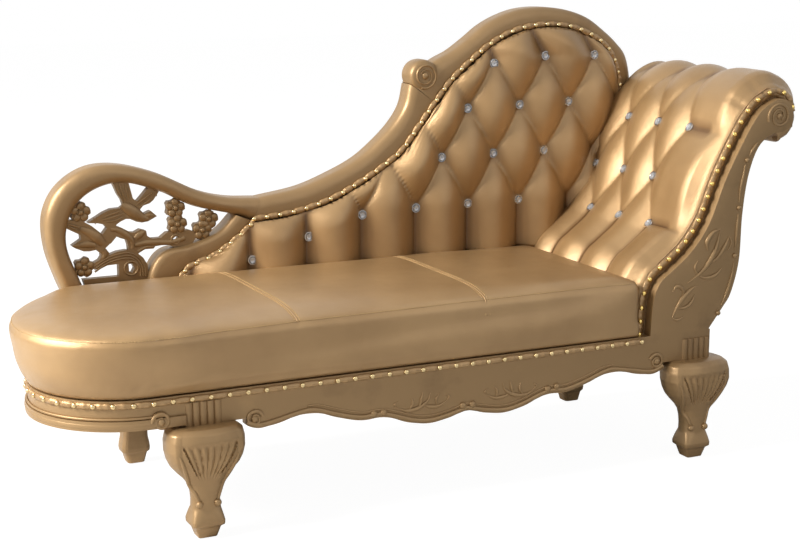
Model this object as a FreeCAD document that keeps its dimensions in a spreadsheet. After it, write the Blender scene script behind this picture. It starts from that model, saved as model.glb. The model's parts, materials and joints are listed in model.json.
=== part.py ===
import FreeCAD, Part
import math
import os

# Fainting couch: a long tight seat with a rounded foot end, a swept crest that loops round a
# pierced bird panel, a buttoned back and a rolled, buttoned head arm on four carved legs.
# Millimetres. X runs from the foot end to the head end, Y from front to back, Z up from the floor.
# The origin is on the floor, in the middle of the length and of the depth.

Vector = FreeCAD.Vector
doc = FreeCAD.newDocument("fainting_couch")

# Driving dimensions
SIZES = [
    ("leg_spacing", 1180, "foot legs to head legs, between centres"),
    ("foot_overhang", 340, "foot legs to the rounded end of the seat"),
    ("head_overhang", 282, "head legs to the outer side of the arm roll"),
    ("frame_depth", 500, "front of the front apron to the back of the seat frame"),
    ("back_depth", 50, "back frame behind the seat frame"),
    ("knee_proud", 50, "knees of the front legs in front of the apron"),
    ("leg_height", 235, "floor to the underside of the leg blocks"),
    ("block_height", 65, "leg blocks and aprons above the legs"),
    ("block_width", 75, "leg blocks, both ways"),
    ("block_proud", 4, "reeded block face in front of the apron"),
    ("block_reeds", 5, "reeds on a block face"),
    ("apron_thickness", 24, "seat frame boards"),
    ("bead_proud", 3, "carved beads in front of the apron"),
    ("foot_corner_radius", 192, "foot apron, the tight corner at the front"),
    ("foot_end_radius", 262, "foot apron, the long sweep to the rear rail"),
    ("foot_sweep", 42.6, "degrees of the long sweep"),
    ("rear_leg_inset", 10, "rear legs nearer the middle than the front legs"),
    ("rear_leg_width", 60, "rear legs, along the couch"),
    ("foot_width", 39, "feet where they meet the floor"),
    ("glide_height", 3, "metal glides under the feet"),
    ("glide_diameter", 22, "metal glides"),
    ("seat_rise", 120, "apron top to the seam of the seat cover"),
    ("seat_crown", 18, "seam to the top of the seat"),
    ("seat_bulge", 38, "seat cover past the apron at the foot corner"),
    ("seat_front_bulge", 16, "seat cover past the apron along the front"),
    ("cover_thickness", 8, "leatherette with its wadding"),
    ("crest_rise", 570, "top of the seat to the top of the crest"),
    ("crest_proud", 5, "crest in front of the back of the seat frame"),
    ("crest_rounding", 9, "softened front corners of the crest"),
    ("fret_setback", 18, "pierced panel behind the front of the crest"),
    ("fret_thickness", 18, "pierced panel in the foot loop"),
    ("panel_thickness", 6, "plywood behind the back foam"),
    ("foam_thickness", 12, "foam between the panel and the tufted cover"),
    ("upright_width", 50, "uprights inside the back"),
    ("sheet_thickness", 2, "leatherette sheets on the outside"),
    ("tuft_width", 140, "buttons in one row of the back"),
    ("tuft_height", 116, "rows of buttons on the back"),
    ("tuft_swell", 40, "back cover at the middle of a tuft"),
    ("arm_tuft_width", 125, "buttons in one row of the arm"),
    ("arm_tuft_height", 125, "rows of buttons on the arm, along its curve"),
    ("arm_tuft_swell", 16, "arm cover at the middle of a tuft"),
    ("facing_thickness", 26, "carved board on the front of the arm"),
    ("arm_board", 18, "boards that carry the ends of the arm"),
    ("arm_cover_lip", 34, "arm cover past the edge of the facing"),
    ("roll_core_diameter", 46, "wooden core of the arm roll"),
    ("bar_section", 28, "stretchers inside the arm"),
    ("band_width", 12, "folded band under the nails"),
    ("band_thickness", 2, "folded band under the nails"),
    ("nail_pitch", 31, "nails on the back and the arm"),
    ("seat_nail_pitch", 39, "nails round the seat"),
    ("nail_diameter", 11, "domed nail heads"),
    ("button_diameter", 20, "metal cup of a button"),
    ("crystal_diameter", 14, "glass set in a button"),
    ("spring_count", 7, "wire springs across the seat"),
    ("spring_wire", 4, "spring wire"),
    ("spring_width", 44, "sideways swing of a spring"),
    ("clearance", 0.3, "between pieces that are fitted without glue"),
]

sheet = doc.addObject("Spreadsheet::Sheet", "dims")
for row, (alias, number, meaning) in enumerate(SIZES, start=1):
    sheet.set(f"A{row}", meaning)
    sheet.set(f"B{row}", str(number))
    sheet.setAlias(f"B{row}", alias)
doc.recompute()


def size(alias):
    return float(sheet.get(alias))


gap = size("clearance")

# Places that several pieces share
x_foot = -(size("foot_overhang") + size("leg_spacing") + size("head_overhang")) / 2 + size("foot_overhang")
x_head = x_foot + size("leg_spacing")
y_front = -(size("frame_depth") + size("back_depth") - size("knee_proud")) / 2
y_rail = y_front + size("frame_depth")
y_back = y_rail + size("back_depth")
y_crest = y_rail - size("crest_proud")
z_block = size("leg_height")
z_frame = z_block + size("block_height")
z_seam = z_frame + size("seat_rise")
z_seat = z_seam + size("seat_crown")

# The same places as expressions, for the objects that are bound to the sheet
X_FOOT = "((dims.foot_overhang - dims.leg_spacing - dims.head_overhang) / 2)"
X_HEAD = "((dims.foot_overhang + dims.leg_spacing - dims.head_overhang) / 2)"
Y_FRONT = "((dims.knee_proud - dims.frame_depth - dims.back_depth) / 2)"
Y_RAIL = f"({Y_FRONT} + dims.frame_depth)"
Y_BACK = f"({Y_RAIL} + dims.back_depth)"
Z_FRAME = "(dims.leg_height + dims.block_height)"

# The side view is drawn from the foot leg, with these lengths, and set to the sheet's sizes by at()
DRAWN_SPACING = 1180
DRAWN_ARM = 1000
DRAWN_FRAME = 300
DRAWN_SEAT = 438
DRAWN_CREST_RISE = 570


def along(x):
    """Place along the couch of a point of the side view."""
    if x <= 0:
        return x_foot + x
    head = size("leg_spacing") - DRAWN_SPACING
    if x >= DRAWN_ARM:
        return x_foot + x + head
    return x_foot + x * (1 + head / DRAWN_ARM)


def up(z):
    """Height of a point of the side view."""
    if z <= DRAWN_FRAME:
        return z_frame + z - DRAWN_FRAME
    if z <= DRAWN_SEAT:
        return z_frame + (z - DRAWN_FRAME) * (z_seat - z_frame) / (DRAWN_SEAT - DRAWN_FRAME)
    return z_seat + (z - DRAWN_SEAT) * size("crest_rise") / DRAWN_CREST_RISE


def at(points):
    """Points of the side view as vectors of a sketch, X across and Z up."""
    return [Vector(along(x), up(z), 0) for x, z in points]


# Outlines: tangent arcs through a few points


def line(start, end):
    return Part.LineSegment(start, end)


def tangents(points):
    """Unit tangents at the points of an open curve, weighted towards the nearer neighbour."""
    inner = []
    for before, here, after in zip(points, points[1:], points[2:]):
        back = here - before
        ahead = after - here
        tangent = back * (ahead.Length / back.Length) + ahead * (back.Length / ahead.Length)
        inner.append(tangent.normalize())

    def end_tangent(chord, neighbour):
        chord.normalize()
        return chord * (2 * chord.dot(neighbour)) - neighbour

    first = end_tangent(points[1] - points[0], inner[0])
    last = end_tangent(points[-1] - points[-2], inner[-1])
    return [first] + inner + [last]


def arc_from(start, tangent, end):
    """The arc that leaves start along tangent and reaches end, or a line where it is that flat."""
    chord = end - start
    normal = Vector(-tangent.y, tangent.x, 0)
    rise = normal.dot(chord)
    if abs(rise) < 1e-4 * chord.Length:
        return line(start, end)
    radius = chord.Length ** 2 / (2 * rise)
    centre = start + normal * radius
    half_turn = math.asin(max(-1, min(1, chord.Length / (2 * abs(radius)))))
    if tangent.dot(chord) < 0:
        half_turn = math.pi - half_turn
    turn = math.copysign(half_turn, radius)
    spoke = start - centre
    middle = Vector(
        centre.x + spoke.x * math.cos(turn) - spoke.y * math.sin(turn),
        centre.y + spoke.x * math.sin(turn) + spoke.y * math.cos(turn),
        0,
    )
    return Part.Arc(start, middle, end)


def smooth(points):
    """Two tangent arcs from each point to the next, so that the outline has no corner."""
    ends = tangents(points)
    arcs = []
    for start, end, leave, arrive in zip(points, points[1:], ends, ends[1:]):
        chord = end - start
        straight = 2 * (1 - leave.dot(arrive))
        slope = 2 * chord.dot(leave + arrive)
        if straight < 1e-9:
            reach = chord.dot(chord) / slope
        else:
            reach = (math.sqrt(slope ** 2 + 4 * straight * chord.dot(chord)) - slope) / (2 * straight)
        join = (start + leave * reach + end - arrive * reach) * 0.5
        arcs.append(arc_from(start, leave, join))
        arcs.append(arc_from(end, arrive * -1, join))
    return arcs


def offset(points, distance):
    """The points of a curve moved to its left by a distance."""
    return [
        point + Vector(-tangent.y, tangent.x, 0) * distance
        for point, tangent in zip(points, tangents(points))
    ]


def polygon(points):
    return [line(start, end) for start, end in zip(points, points[1:] + points[:1])]


def strip(points, near, far):
    """Closed outline, run by run, between two offsets of one curve."""
    return polygon(offset(points, near) + offset(points, far)[::-1])


def wire_of(edges):
    return Part.Wire(Part.__sortEdges__([edge.toShape() for edge in edges]))


def spaced(edges, pitch, margin=0.0):
    """Evenly spaced points, near the pitch, along an open outline, with the tangent at each."""
    wire = wire_of(edges)
    first, last = wire.discretize(Number=2)[0], wire.discretize(Number=2)[-1]
    count = max(2, round((wire.Length - 2 * margin) / pitch) + 1)
    fine = wire.discretize(Number=8 * count)
    if (fine[0] - first).Length > (fine[0] - last).Length:
        fine.reverse()
    lengths = [0.0]
    for before, here in zip(fine, fine[1:]):
        lengths.append(lengths[-1] + (here - before).Length)
    places = []
    for index in range(count):
        target = margin + (lengths[-1] - 2 * margin) * index / (count - 1)
        step = next((i for i, length in enumerate(lengths[1:]) if length >= target), len(fine) - 2)
        share = (target - lengths[step]) / (lengths[step + 1] - lengths[step])
        ahead = fine[step + 1] - fine[step]
        places.append((fine[step] + ahead * share, Vector(ahead).normalize()))
    return places


def stations(edges, pitch):
    """Points along an open outline, near a pitch apart."""
    return [place for place, _ in spaced(edges, pitch)]


# Document objects

pieces = []


def keep(piece, label):
    piece.Label = label
    pieces.append(piece)
    return piece


def origin_plane(body, role):
    return next(feature for feature in body.Origin.OriginFeatures if feature.Role == role)


def sketched_pad(body, name, edges, role, length):
    sketch = body.newObject("Sketcher::SketchObject", f"{name}_outline")
    sketch.AttachmentSupport = [(origin_plane(body, role), "")]
    sketch.MapMode = "FlatFace"
    sketch.addGeometry(edges, False)
    pad = body.newObject("PartDesign::Pad", f"{name}_board")
    pad.Profile = sketch
    pad.setExpression("Length", length)
    body.Tip = pad
    return pad


def board(label, edges, thickness, back):
    """A board cut to an outline of the side view, with the place in depth of its back face."""
    body = doc.addObject("PartDesign::Body", label)
    sketched_pad(body, label, edges, "XZ_Plane", thickness)
    body.setExpression("Placement.Base.y", back)
    return keep(body, label)


def plan_board(label, edges, height, bottom):
    """A board cut to an outline of the plan view, with the height of its underside."""
    body = doc.addObject("PartDesign::Body", label)
    sketched_pad(body, label, edges, "XY_Plane", height)
    body.setExpression("Placement.Base.z", bottom)
    return keep(body, label)


def chamfer_front(body, width):
    """Softens the long front edges of a board."""
    doc.recompute()
    pad = body.Tip
    front = pad.Shape.BoundBox.YMin
    names = []
    for index, edge in enumerate(pad.Shape.Edges, start=1):
        box = edge.BoundBox
        if box.YMax - front < 1e-6 and edge.Curve.TypeId == "Part::GeomCircle":
            names.append(f"Edge{index}")
    chamfer = body.newObject("PartDesign::Chamfer", f"{body.Name}_rounding")
    chamfer.Base = (pad, names)
    chamfer.setExpression("Size", width)
    body.Tip = chamfer


def box(name, lengths, corner):
    """A Part::Box from three expressions for its size and three for its lowest corner."""
    block = doc.addObject("Part::Box", name)
    for side, expression in zip(("Length", "Width", "Height"), lengths):
        block.setExpression(side, expression)
    for axis, expression in zip("xyz", corner):
        block.setExpression(f"Placement.Base.{axis}", expression)
    return block


def feature(label, shape):
    piece = doc.addObject("Part::Feature", label)
    piece.Shape = shape
    return keep(piece, label)


def solid_between(edges, y_low, y_high):
    """A solid from an outline of the side view, between two places in depth."""
    face = Part.Face(wire_of(edges))
    turned = face.transformed(FreeCAD.Placement(
        Vector(0, y_low, 0), FreeCAD.Rotation(Vector(1, 0, 0), 90)).toMatrix())
    return turned.extrude(Vector(0, y_high - y_low, 0))


def block_between(low, high):
    return Part.makeBox(high[0] - low[0], high[1] - low[1], high[2] - low[2], Vector(*low))


def flat_face(points):
    return Part.Face(Part.makePolygon(list(points) + [points[0]]))


def closed_solid(faces):
    solid = Part.makeSolid(Part.makeShell(faces))
    if solid.Volume < 0:
        solid.reverse()
    return solid


def stacked_rings(rings):
    """A solid skinned over a stack of closed rings with the same number of points."""
    faces = [flat_face(rings[0]), flat_face(rings[-1])]
    for lower, upper in zip(rings, rings[1:]):
        count = len(lower)
        for index in range(count):
            after = (index + 1) % count
            quad = [lower[index], lower[after], upper[after], upper[index]]
            normal = (quad[1] - quad[0]).cross(quad[3] - quad[0])
            if abs(normal.dot(quad[2] - quad[0])) < 1e-7 * normal.Length:
                faces.append(flat_face(quad))
            else:
                faces.append(flat_face([quad[0], quad[1], quad[2]]))
                faces.append(flat_face([quad[0], quad[2], quad[3]]))
    return closed_solid(faces)


def turned(centre, outward, profile, sides):
    """A turned form with flat sides: radius and height of each ring, out along its axis."""
    outward = Vector(outward).normalize()
    across = outward.cross(Vector(0, 0, 1))
    if across.Length < 0.1:
        across = outward.cross(Vector(0, 1, 0))
    across.normalize()
    third = outward.cross(across)
    rings = []
    for radius, height in profile:
        ring = []
        for side in range(sides):
            angle = 2 * math.pi * side / sides
            spoke = across * (radius * math.cos(angle)) + third * (radius * math.sin(angle))
            ring.append(centre + outward * height + spoke)
        rings.append(ring)
    return stacked_rings(rings)


def pyramid(centre, outward, radius, height, sides=6):
    """A low pointed head with its flat side on a surface."""
    outward = Vector(outward).normalize()
    across = outward.cross(Vector(0, 0, 1))
    if across.Length < 0.1:
        across = outward.cross(Vector(0, 1, 0))
    across.normalize()
    third = outward.cross(across)
    rim = []
    for side in range(sides):
        angle = 2 * math.pi * side / sides
        rim.append(centre + across * (radius * math.cos(angle)) + third * (radius * math.sin(angle)))
    tip = centre + outward * height
    faces = [flat_face(rim)]
    for start, end in zip(rim, rim[1:] + rim[:1]):
        faces.append(flat_face([start, end, tip]))
    return closed_solid(faces)


# Seat frame

APRON_EDGE = [
    (0, 187), (48, 176), (90, 171), (130, 177), (197, 198), (248, 198), (300, 211), (345, 226),
    (373, 228), (448, 214), (477, 212), (500, 221),
]
DRAWN_APRON_HALF = 552.5
apron_middle = (x_foot + x_head) / 2
apron_half = (size("leg_spacing") - size("block_width")) / 2


def apron_edge():
    """The waved lower edge of the front apron, from the foot end to the head end."""
    stretch = apron_half / DRAWN_APRON_HALF
    half = [Vector(x * stretch, z_frame + z - DRAWN_FRAME, 0) for x, z in APRON_EDGE]
    left = [Vector(-point.x, point.y, 0) for point in half[:0:-1]]
    return [point + Vector(apron_middle, 0, 0) for point in left + half]


def make_front_apron():
    """A board that drops in waves, notched over the knees, with a bead along its lower edge."""
    edge = apron_edge()
    left = apron_middle - apron_half
    right = apron_middle + apron_half
    knee_left = Vector(edge[0].x, z_block + gap, 0)
    knee_right = Vector(edge[-1].x, z_block + gap, 0)
    corners = [
        edge[-1], knee_right, Vector(right, knee_right.y, 0), Vector(right, z_frame, 0),
        Vector(left, z_frame, 0), Vector(left, knee_left.y, 0), knee_left, edge[0],
    ]
    outline = smooth(edge) + [line(start, end) for start, end in zip(corners, corners[1:])]
    apron = board("front_apron", outline, "dims.apron_thickness", f"{Y_FRONT} + dims.apron_thickness")
    bead = strip(stations(smooth(edge), 20)[1:-1], 1.5, 8)
    sketched_pad(apron, "front_apron_bead", bead, "XZ_Plane", "dims.apron_thickness + dims.bead_proud")


def foot_path(grow, rear, rear_end):
    """Plan of the foot end, from the front leg block round to the rear: arcs, a run and a corner."""
    corner = size("foot_corner_radius") + grow
    sweep = size("foot_end_radius") + grow
    tip = x_foot - size("foot_overhang") + size("seat_bulge") + 6 - grow
    middle = y_front + size("foot_corner_radius")
    start = Vector(x_foot - size("block_width") / 2, y_front - grow, 0)
    corner_start = Vector(tip + corner, y_front - grow, 0)
    slant = corner * math.cos(math.pi / 4)
    corner_middle = Vector(tip + corner - slant, middle - slant, 0)
    leftmost = Vector(tip, middle, 0)
    angle = math.radians(size("foot_sweep"))

    def swept(turn):
        return Vector(tip + sweep * (1 - math.cos(turn)), middle + sweep * math.sin(turn), 0)

    leave = swept(angle)
    rise = rear - leave.y
    rear_corner = leave + Vector(rise * math.tan(angle), rise, 0)
    return [
        line(start, corner_start),
        Part.Arc(corner_start, corner_middle, leftmost),
        Part.Arc(leftmost, swept(angle / 2), leave),
        line(leave, rear_corner),
        line(rear_corner, Vector(rear_end, rear, 0)),
    ]


def closed_between(outer, inner):
    """Closes two paths that run the same way into one outline."""
    ends = [line(outer[0].StartPoint, inner[0].StartPoint), line(outer[-1].EndPoint, inner[-1].EndPoint)]
    return outer + inner + ends


x_foot_joint = x_foot - size("rear_leg_width")


def make_foot_apron():
    """The bent rail of the foot end, with a rounded bead round its lower edge."""
    thick = size("apron_thickness")
    rail_edge = foot_path(0, y_rail, x_foot_joint)
    inside = foot_path(-thick, y_rail - thick, x_foot_joint)
    outline = closed_between(rail_edge, inside)
    rail = plan_board("foot_apron", outline, "dims.block_height - 5", "dims.leg_height + 5")
    bead = closed_between(foot_path(6, y_rail, x_foot_joint), inside)
    sketched_pad(rail, "foot_apron_bead", bead, "XY_Plane", "20")


def make_rails():
    """The straight rails behind the seat and under the arm."""
    thick = "dims.apron_thickness"
    height = "dims.block_height"
    head_face = f"{X_HEAD} + dims.block_width / 2"
    rear_start = f"{X_FOOT} - dims.rear_leg_width - 45"
    inner_start = f"{X_FOOT} - dims.rear_leg_width"
    rear = box("rear_rail", (f"{head_face} - ({rear_start})", "dims.back_depth", height),
               (rear_start, Y_RAIL, "dims.leg_height"))
    keep(rear, "rear_rail")
    inner = box("inner_rear_rail", (f"{head_face} - dims.apron_thickness - ({inner_start})", thick, height),
                (inner_start, f"{Y_RAIL} - {thick}", "dims.leg_height"))
    keep(inner, "inner_rear_rail")
    block_back = f"{Y_FRONT} - dims.block_proud + dims.block_width"
    head = box("head_rail", (thick, f"{Y_RAIL} - ({block_back})", height),
               (f"{head_face} - {thick}", block_back, "dims.leg_height"))
    keep(head, "head_rail")


def reed_outline(width, proud, reeds):
    """Plan of a reeded block: half-round reeds on the front, flat on the other sides."""
    half = width / 2
    step = width / reeds
    edges = []
    for reed in range(reeds):
        left = -half + reed * step
        dip_left = Vector(left, 0, 0)
        crown = Vector(left + step / 2, -proud, 0)
        edges.append(Part.Arc(dip_left, crown, Vector(left + step, 0, 0)))
    depth = width - proud
    back_left = Vector(-half, depth, 0)
    back_right = Vector(half, depth, 0)
    edges.append(line(Vector(half, 0, 0), back_right))
    edges.append(line(back_right, back_left))
    edges.append(line(back_left, Vector(-half, 0, 0)))
    return edges


def make_leg_block(label, place):
    """A reeded corner block; the seat band passes over its plain top."""
    width = size("block_width")
    body = doc.addObject("PartDesign::Body", label)
    reeds = reed_outline(width, size("block_proud"), int(size("block_reeds")))
    sketched_pad(body, f"{label}_reeds", reeds, "XY_Plane", "dims.block_height - dims.band_width - 5")
    depth = width - size("block_proud")
    half = width / 2
    corners = [Vector(-half, 0, 0), Vector(half, 0, 0), Vector(half, depth, 0), Vector(-half, depth, 0)]
    sketched_pad(body, f"{label}_post", polygon(corners), "XY_Plane", "dims.block_height")
    body.setExpression("Placement.Base.x", place)
    body.setExpression("Placement.Base.y", Y_FRONT)
    body.setExpression("Placement.Base.z", "dims.leg_height")
    return keep(body, label)


# Legs

# Height, half width, front and back of each section, from the front of the apron; the front is out
KNEE_SECTIONS = [
    (235, 66, 36, 65), (226, 78, 46, 66), (210, 82, 50, 66), (190, 82, 50, 62), (172, 78, 46, 57),
    (157, 71, 40, 51), (143, 59, 32, 45), (130, 46, 26, 41), (116, 36, 22, 38), (100, 31, 20, 37),
    (82, 29, 20, 36), (62, 30, 21, 36), (48, 33, 24, 38), (38, 35, 26, 40), (30, 34, 25, 39),
    (25, 27, 18, 33),
]
POST_SECTIONS = [
    (235, 30, 25, 25), (90, 28, 23, 23), (62, 29, 23, 23), (48, 32, 24, 24), (38, 33, 25, 25),
    (30, 32, 24, 24), (25, 26, 21, 21),
]
DRAWN_LEG = 235
DRAWN_POST = 60


def rounded_ring(z, half, front, back, round_share, corner_points=4):
    """A ring of points round a rectangle with rounded corners."""
    radius = min(half, (front + back) / 2) * round_share
    corners = [
        (half - radius, -front + radius, -90), (half - radius, back - radius, 0),
        (-half + radius, back - radius, 90), (-half + radius, -front + radius, 180),
    ]
    ring = []
    for x, y, start in corners:
        for index in range(corner_points):
            angle = math.radians(start + 90 * index / (corner_points - 1))
            ring.append(Vector(x + radius * math.cos(angle), y + radius * math.sin(angle), z))
    return ring


def leg_rings(sections, stretch, proud, lean):
    """Sections set to the leg's height, down to a square foot that stands on its glide."""
    foot = size("glide_height")
    toe = size("foot_width") / 2
    rise = (size("leg_height") - foot) / (DRAWN_LEG - 3)
    rings = []
    for z, half, front, back in sections:
        height = foot + (z - 3) * rise
        rings.append(rounded_ring(height, half * stretch, front * stretch + proud, back * stretch, 0.45))
    rings.append(rounded_ring(foot, toe, toe - lean, toe + lean, 0.45))
    return rings


def knee_flutes():
    """Tapered cutters that fan out over the front of a knee and leave reeds between them."""
    cutters = []
    count = 8
    for index in range(count):
        share = index / (count - 1) * 2 - 1
        groove = []
        for reach, half, height in ((58, 5, 26), (20, 3, 100)):
            face = -size("knee_proud") - 6 if height < 50 else -size("knee_proud") * 0.5 - 10
            middle = Vector(share * reach, face, size("leg_height") - height)
            bed = middle + Vector(0, 9, 0)
            groove.append([middle + Vector(-half, 0, 0), middle + Vector(half, 0, 0), bed])
        cutters.append(stacked_rings(groove))
    return cutters


def ball(centre, radius):
    """A carved ball with flat sides."""
    profile = []
    for ring in range(1, 6):
        angle = math.pi * ring / 6
        profile.append((radius * math.sin(angle), -radius * math.cos(angle)))
    return turned(centre, Vector(0, -1, 0), profile, 8)


def make_front_leg(label, place):
    """A carved front leg: a fluted shell knee, a slim ankle with two balls, and a tapered foot."""
    leg = stacked_rings(leg_rings(KNEE_SECTIONS, 1, size("knee_proud") - 50, 7.5))
    leg = leg.cut(knee_flutes())
    height = size("leg_height") * 0.32
    balls = [ball(Vector(side * 19, -size("knee_proud") + 29, height), 8) for side in (-1, 1)]
    leg = leg.fuse(balls)
    piece = feature(label, leg)
    piece.Placement.Base = Vector(place, y_front, 0)


def make_rear_leg(label, place):
    """A plain square post with the same foot."""
    stretch = size("rear_leg_width") / DRAWN_POST
    piece = feature(label, stacked_rings(leg_rings(POST_SECTIONS, stretch, 0, 0)))
    piece.Placement.Base = Vector(place, y_rail + size("back_depth") / 2, 0)


leg_places = {
    "front_foot": (x_foot, y_front + 7.5),
    "front_head": (x_head, y_front + 7.5),
    "rear_foot": (x_foot + size("rear_leg_inset"), y_rail + size("back_depth") / 2),
    "rear_head": (x_head - size("rear_leg_inset"), y_rail + size("back_depth") / 2),
}


def make_glides():
    glides = []
    for x, y in leg_places.values():
        profile = [(size("glide_diameter") / 2 - 1, 0), (size("glide_diameter") / 2, size("glide_height"))]
        glides.append(turned(Vector(x, y, 0), Vector(0, 0, 1), profile, 16))
    feature("foot_glides", Part.makeCompound(glides))


# Show wood of the back

LOOP_OUTER = [
    (-112, 300), (-122, 366), (-150, 434), (-174, 512), (-175, 586), (-144, 645), (-84, 683),
    (-12, 688), (80, 663), (176, 617), (246, 598), (318, 592),
]
LOOP_INNER = [
    (-62, 300), (-72, 366), (-103, 436), (-131, 521), (-116, 591), (-70, 634), (-1, 648),
    (85, 622), (159, 585), (258, 558),
]
ARC_UPPER = [(48, 300), (48, 400), (58, 452), (90, 487), (150, 497), (217, 521), (258, 558)]
ARC_LOWER = [(100, 300), (106, 385), (135, 444), (206, 473), (264, 511)]
SWEEP_OUTER = [
    (318, 592), (420, 608), (497, 634), (565, 665), (617, 703), (660, 744), (688, 786), (697, 824),
]
HUMP_OUTER = [
    (778, 890), (815, 909), (859, 938), (898, 966), (943, 988), (998, 1004), (1063, 1008),
    (1128, 1000), (1186, 981), (1235, 949), (1275, 916), (1305, 878), (1320, 800), (1316, 700),
]
BACK_SEAM = [
    (299, 547), (376, 553), (441, 565), (502, 584), (561, 612), (618, 644), (673, 682), (717, 736),
    (760, 790), (803, 842), (855, 886), (910, 926), (975, 955), (1042, 967), (1113, 964),
    (1170, 949), (1222, 921), (1258, 880), (1280, 800), (1284, 700),
]
SEAM_SPLIT = 8
POST_OUTER = [(1316, 700), (1300, 600), (1291, 454), (1272, 380), (1250, 347), (1213, 300)]
POST_INNER = [(1284, 700), (1264, 600), (1250, 454), (1230, 388), (1208, 352), (1168, 300)]
EAR_CENTRE = (736, 855)
EAR_RADIUS = 38

# Radius and height of the rings of a carved scroll, from its rim to its eye
SCROLL_RADIUS = 30
SCROLL_RINGS = [(26, 4), (21, 4), (18, 1), (13, 1), (10, 5), (5, 6)]

back_seam = at(BACK_SEAM)
wood_edge = offset(back_seam, -size("band_width") / 2)
arc_lower = at(ARC_LOWER) + [wood_edge[0]]
crest_depth = "dims.back_depth + dims.crest_proud"


def post_edge(shrink):
    """Inner edge of the head post, from the end of the back seam down to the rail."""
    edge = offset(at(POST_INNER), -size("band_width") / 2 - shrink)
    edge[0] = offset(back_seam, -size("band_width") / 2 - shrink)[-1]
    edge[-1].y = z_frame + shrink
    return edge


def make_crest():
    """The crest rail in four pieces: foot loop, sweep, volute ear and hump."""
    outer = at(LOOP_OUTER)
    inner = at(LOOP_INNER)
    end_low = wood_edge[0]
    loop = smooth(outer) + smooth(inner) + [
        line(outer[0], inner[0]), line(inner[-1], end_low), line(end_low, outer[-1])]
    chamfer_front(board("crest_foot_loop", loop, crest_depth, Y_BACK), "dims.crest_rounding")

    sweep_top = at(SWEEP_OUTER)
    sweep_low = wood_edge[:SEAM_SPLIT + 1]
    sweep = smooth(sweep_top) + smooth(sweep_low) + [
        line(sweep_top[0], sweep_low[0]), line(sweep_top[-1], sweep_low[-1])]
    chamfer_front(board("crest_sweep", sweep, crest_depth, Y_BACK), "dims.crest_rounding")

    hump_top = at(HUMP_OUTER)
    hump_low = wood_edge[SEAM_SPLIT:]
    ear = at([EAR_CENTRE])[0]
    hump = smooth(hump_top) + smooth(hump_low) + [
        line(hump_top[-1], hump_low[-1]), line(hump_low[0], sweep_top[-1]),
        line(sweep_top[-1], hump_top[0])]
    chamfer_front(board("crest_hump", hump, crest_depth, Y_BACK), "dims.crest_rounding")

    inner = post_edge(0)
    outer = at(POST_OUTER)
    post = smooth(inner) + smooth(outer) + [line(inner[0], outer[0]), line(inner[-1], outer[-1])]
    board("head_post", post, crest_depth, Y_BACK)

    depth = y_back - y_crest
    profile = [(EAR_RADIUS, 0), (EAR_RADIUS, depth - 5), (EAR_RADIUS - 4, depth)]
    profile += [(radius * EAR_RADIUS / SCROLL_RADIUS, depth + height) for radius, height in SCROLL_RINGS]
    ear_solid = turned(Vector(ear.x, y_back, ear.y), Vector(0, -1, 0), profile, 28)
    chord = solid_between(polygon([
        hump_low[0], sweep_top[-1], hump_top[0],
        hump_top[0] + Vector(0, 200, 0), sweep_top[-1] + Vector(-200, 200, 0), sweep_top[-1] + Vector(-200, 0, 0),
    ]), y_crest - 10, y_back)
    feature("crest_volute", ear_solid.common(chord))


def make_arc_rail():
    """The curved rail between the pierced panel and the buttoned back."""
    upper = at(ARC_UPPER)
    lower = arc_lower
    outline = smooth(upper) + smooth(lower) + [line(upper[0], lower[0]), line(upper[-1], lower[-1])]
    chamfer_front(board("arc_rail", outline, crest_depth, Y_BACK), "dims.crest_rounding - 2")


# Pierced panel. Two birds, the stem that joins them, a spray that carries the blossom and a
# scroll that rises from the hidden sill.
BIRD_ABOVE = [
    (-25, 656), (12, 656), (23, 611), (32, 603), (42, 613), (59, 632), (90, 632), (70, 604),
    (61, 597), (46, 593), (38, 584), (38, 573), (45, 573), (63, 580), (77, 567), (57, 557),
    (42, 555), (29, 558), (15, 565), (6, 566), (-7, 561), (-16, 555), (-24, 545), (-37, 547),
    (-44, 557), (-58, 561), (-80, 563), (-75, 567), (-60, 575), (-46, 583), (-28, 590), (-6, 591),
    (1, 596), (-3, 609), (-11, 622),
]
BIRD_BELOW = [
    (-140, 561), (-140, 575), (-93, 569), (-72, 556), (-49, 536), (-28, 540), (-27, 518),
    (-43, 504), (-34, 492), (-40, 478), (-59, 477), (-53, 486), (-53, 492), (-64, 502),
    (-79, 500), (-92, 501), (-112, 510), (-118, 515), (-97, 528), (-98, 538),
]
STEM = [
    (-37, 550), (-19, 553), (-2, 545), (15, 535), (25, 534), (38, 540), (51, 536), (53, 524),
    (64, 517), (84, 517), (99, 528), (128, 530), (150, 530), (161, 526), (168, 513), (155, 494),
    (146, 478), (117, 490), (105, 499), (86, 500), (71, 499), (67, 494), (44, 494), (29, 484),
    (10, 489), (9, 506), (5, 519), (-9, 524), (-17, 528), (-30, 514), (-50, 505), (-50, 534),
]
SCROLL = [
    (-76, 470), (-47, 484), (-32, 489), (-16, 494), (5, 496), (27, 489), (42, 476), (52, 459),
    (54, 432), (-14, 432), (-14, 466), (-40, 465), (-62, 456),
]
FRET_SILL = [(-66, 300), (46, 300), (46, 400), (52, 438), (-96, 438), (-74, 366)]
FRET_HOLES = [
    [(8, 464), (17, 464), (22, 453), (16, 443), (9, 447)],
    [(113, 513), (121, 519), (126, 512), (120, 503), (114, 504)],
]
FLOWERS = [(-96, 588), (-92, 465), (120, 582), (124, 545), (198, 551), (182, 527)]
FLOWER_RADIUS = 24


def blossom(centre, radius):
    """A flower with five round petals."""
    points = []
    for step in range(20):
        angle = math.radians(step * 18 + 9)
        reach = radius * (0.86 + 0.14 * math.cos(5 * angle))
        points.append(centre + Vector(math.cos(angle), math.sin(angle), 0) * reach)
    return polygon(points)


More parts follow.
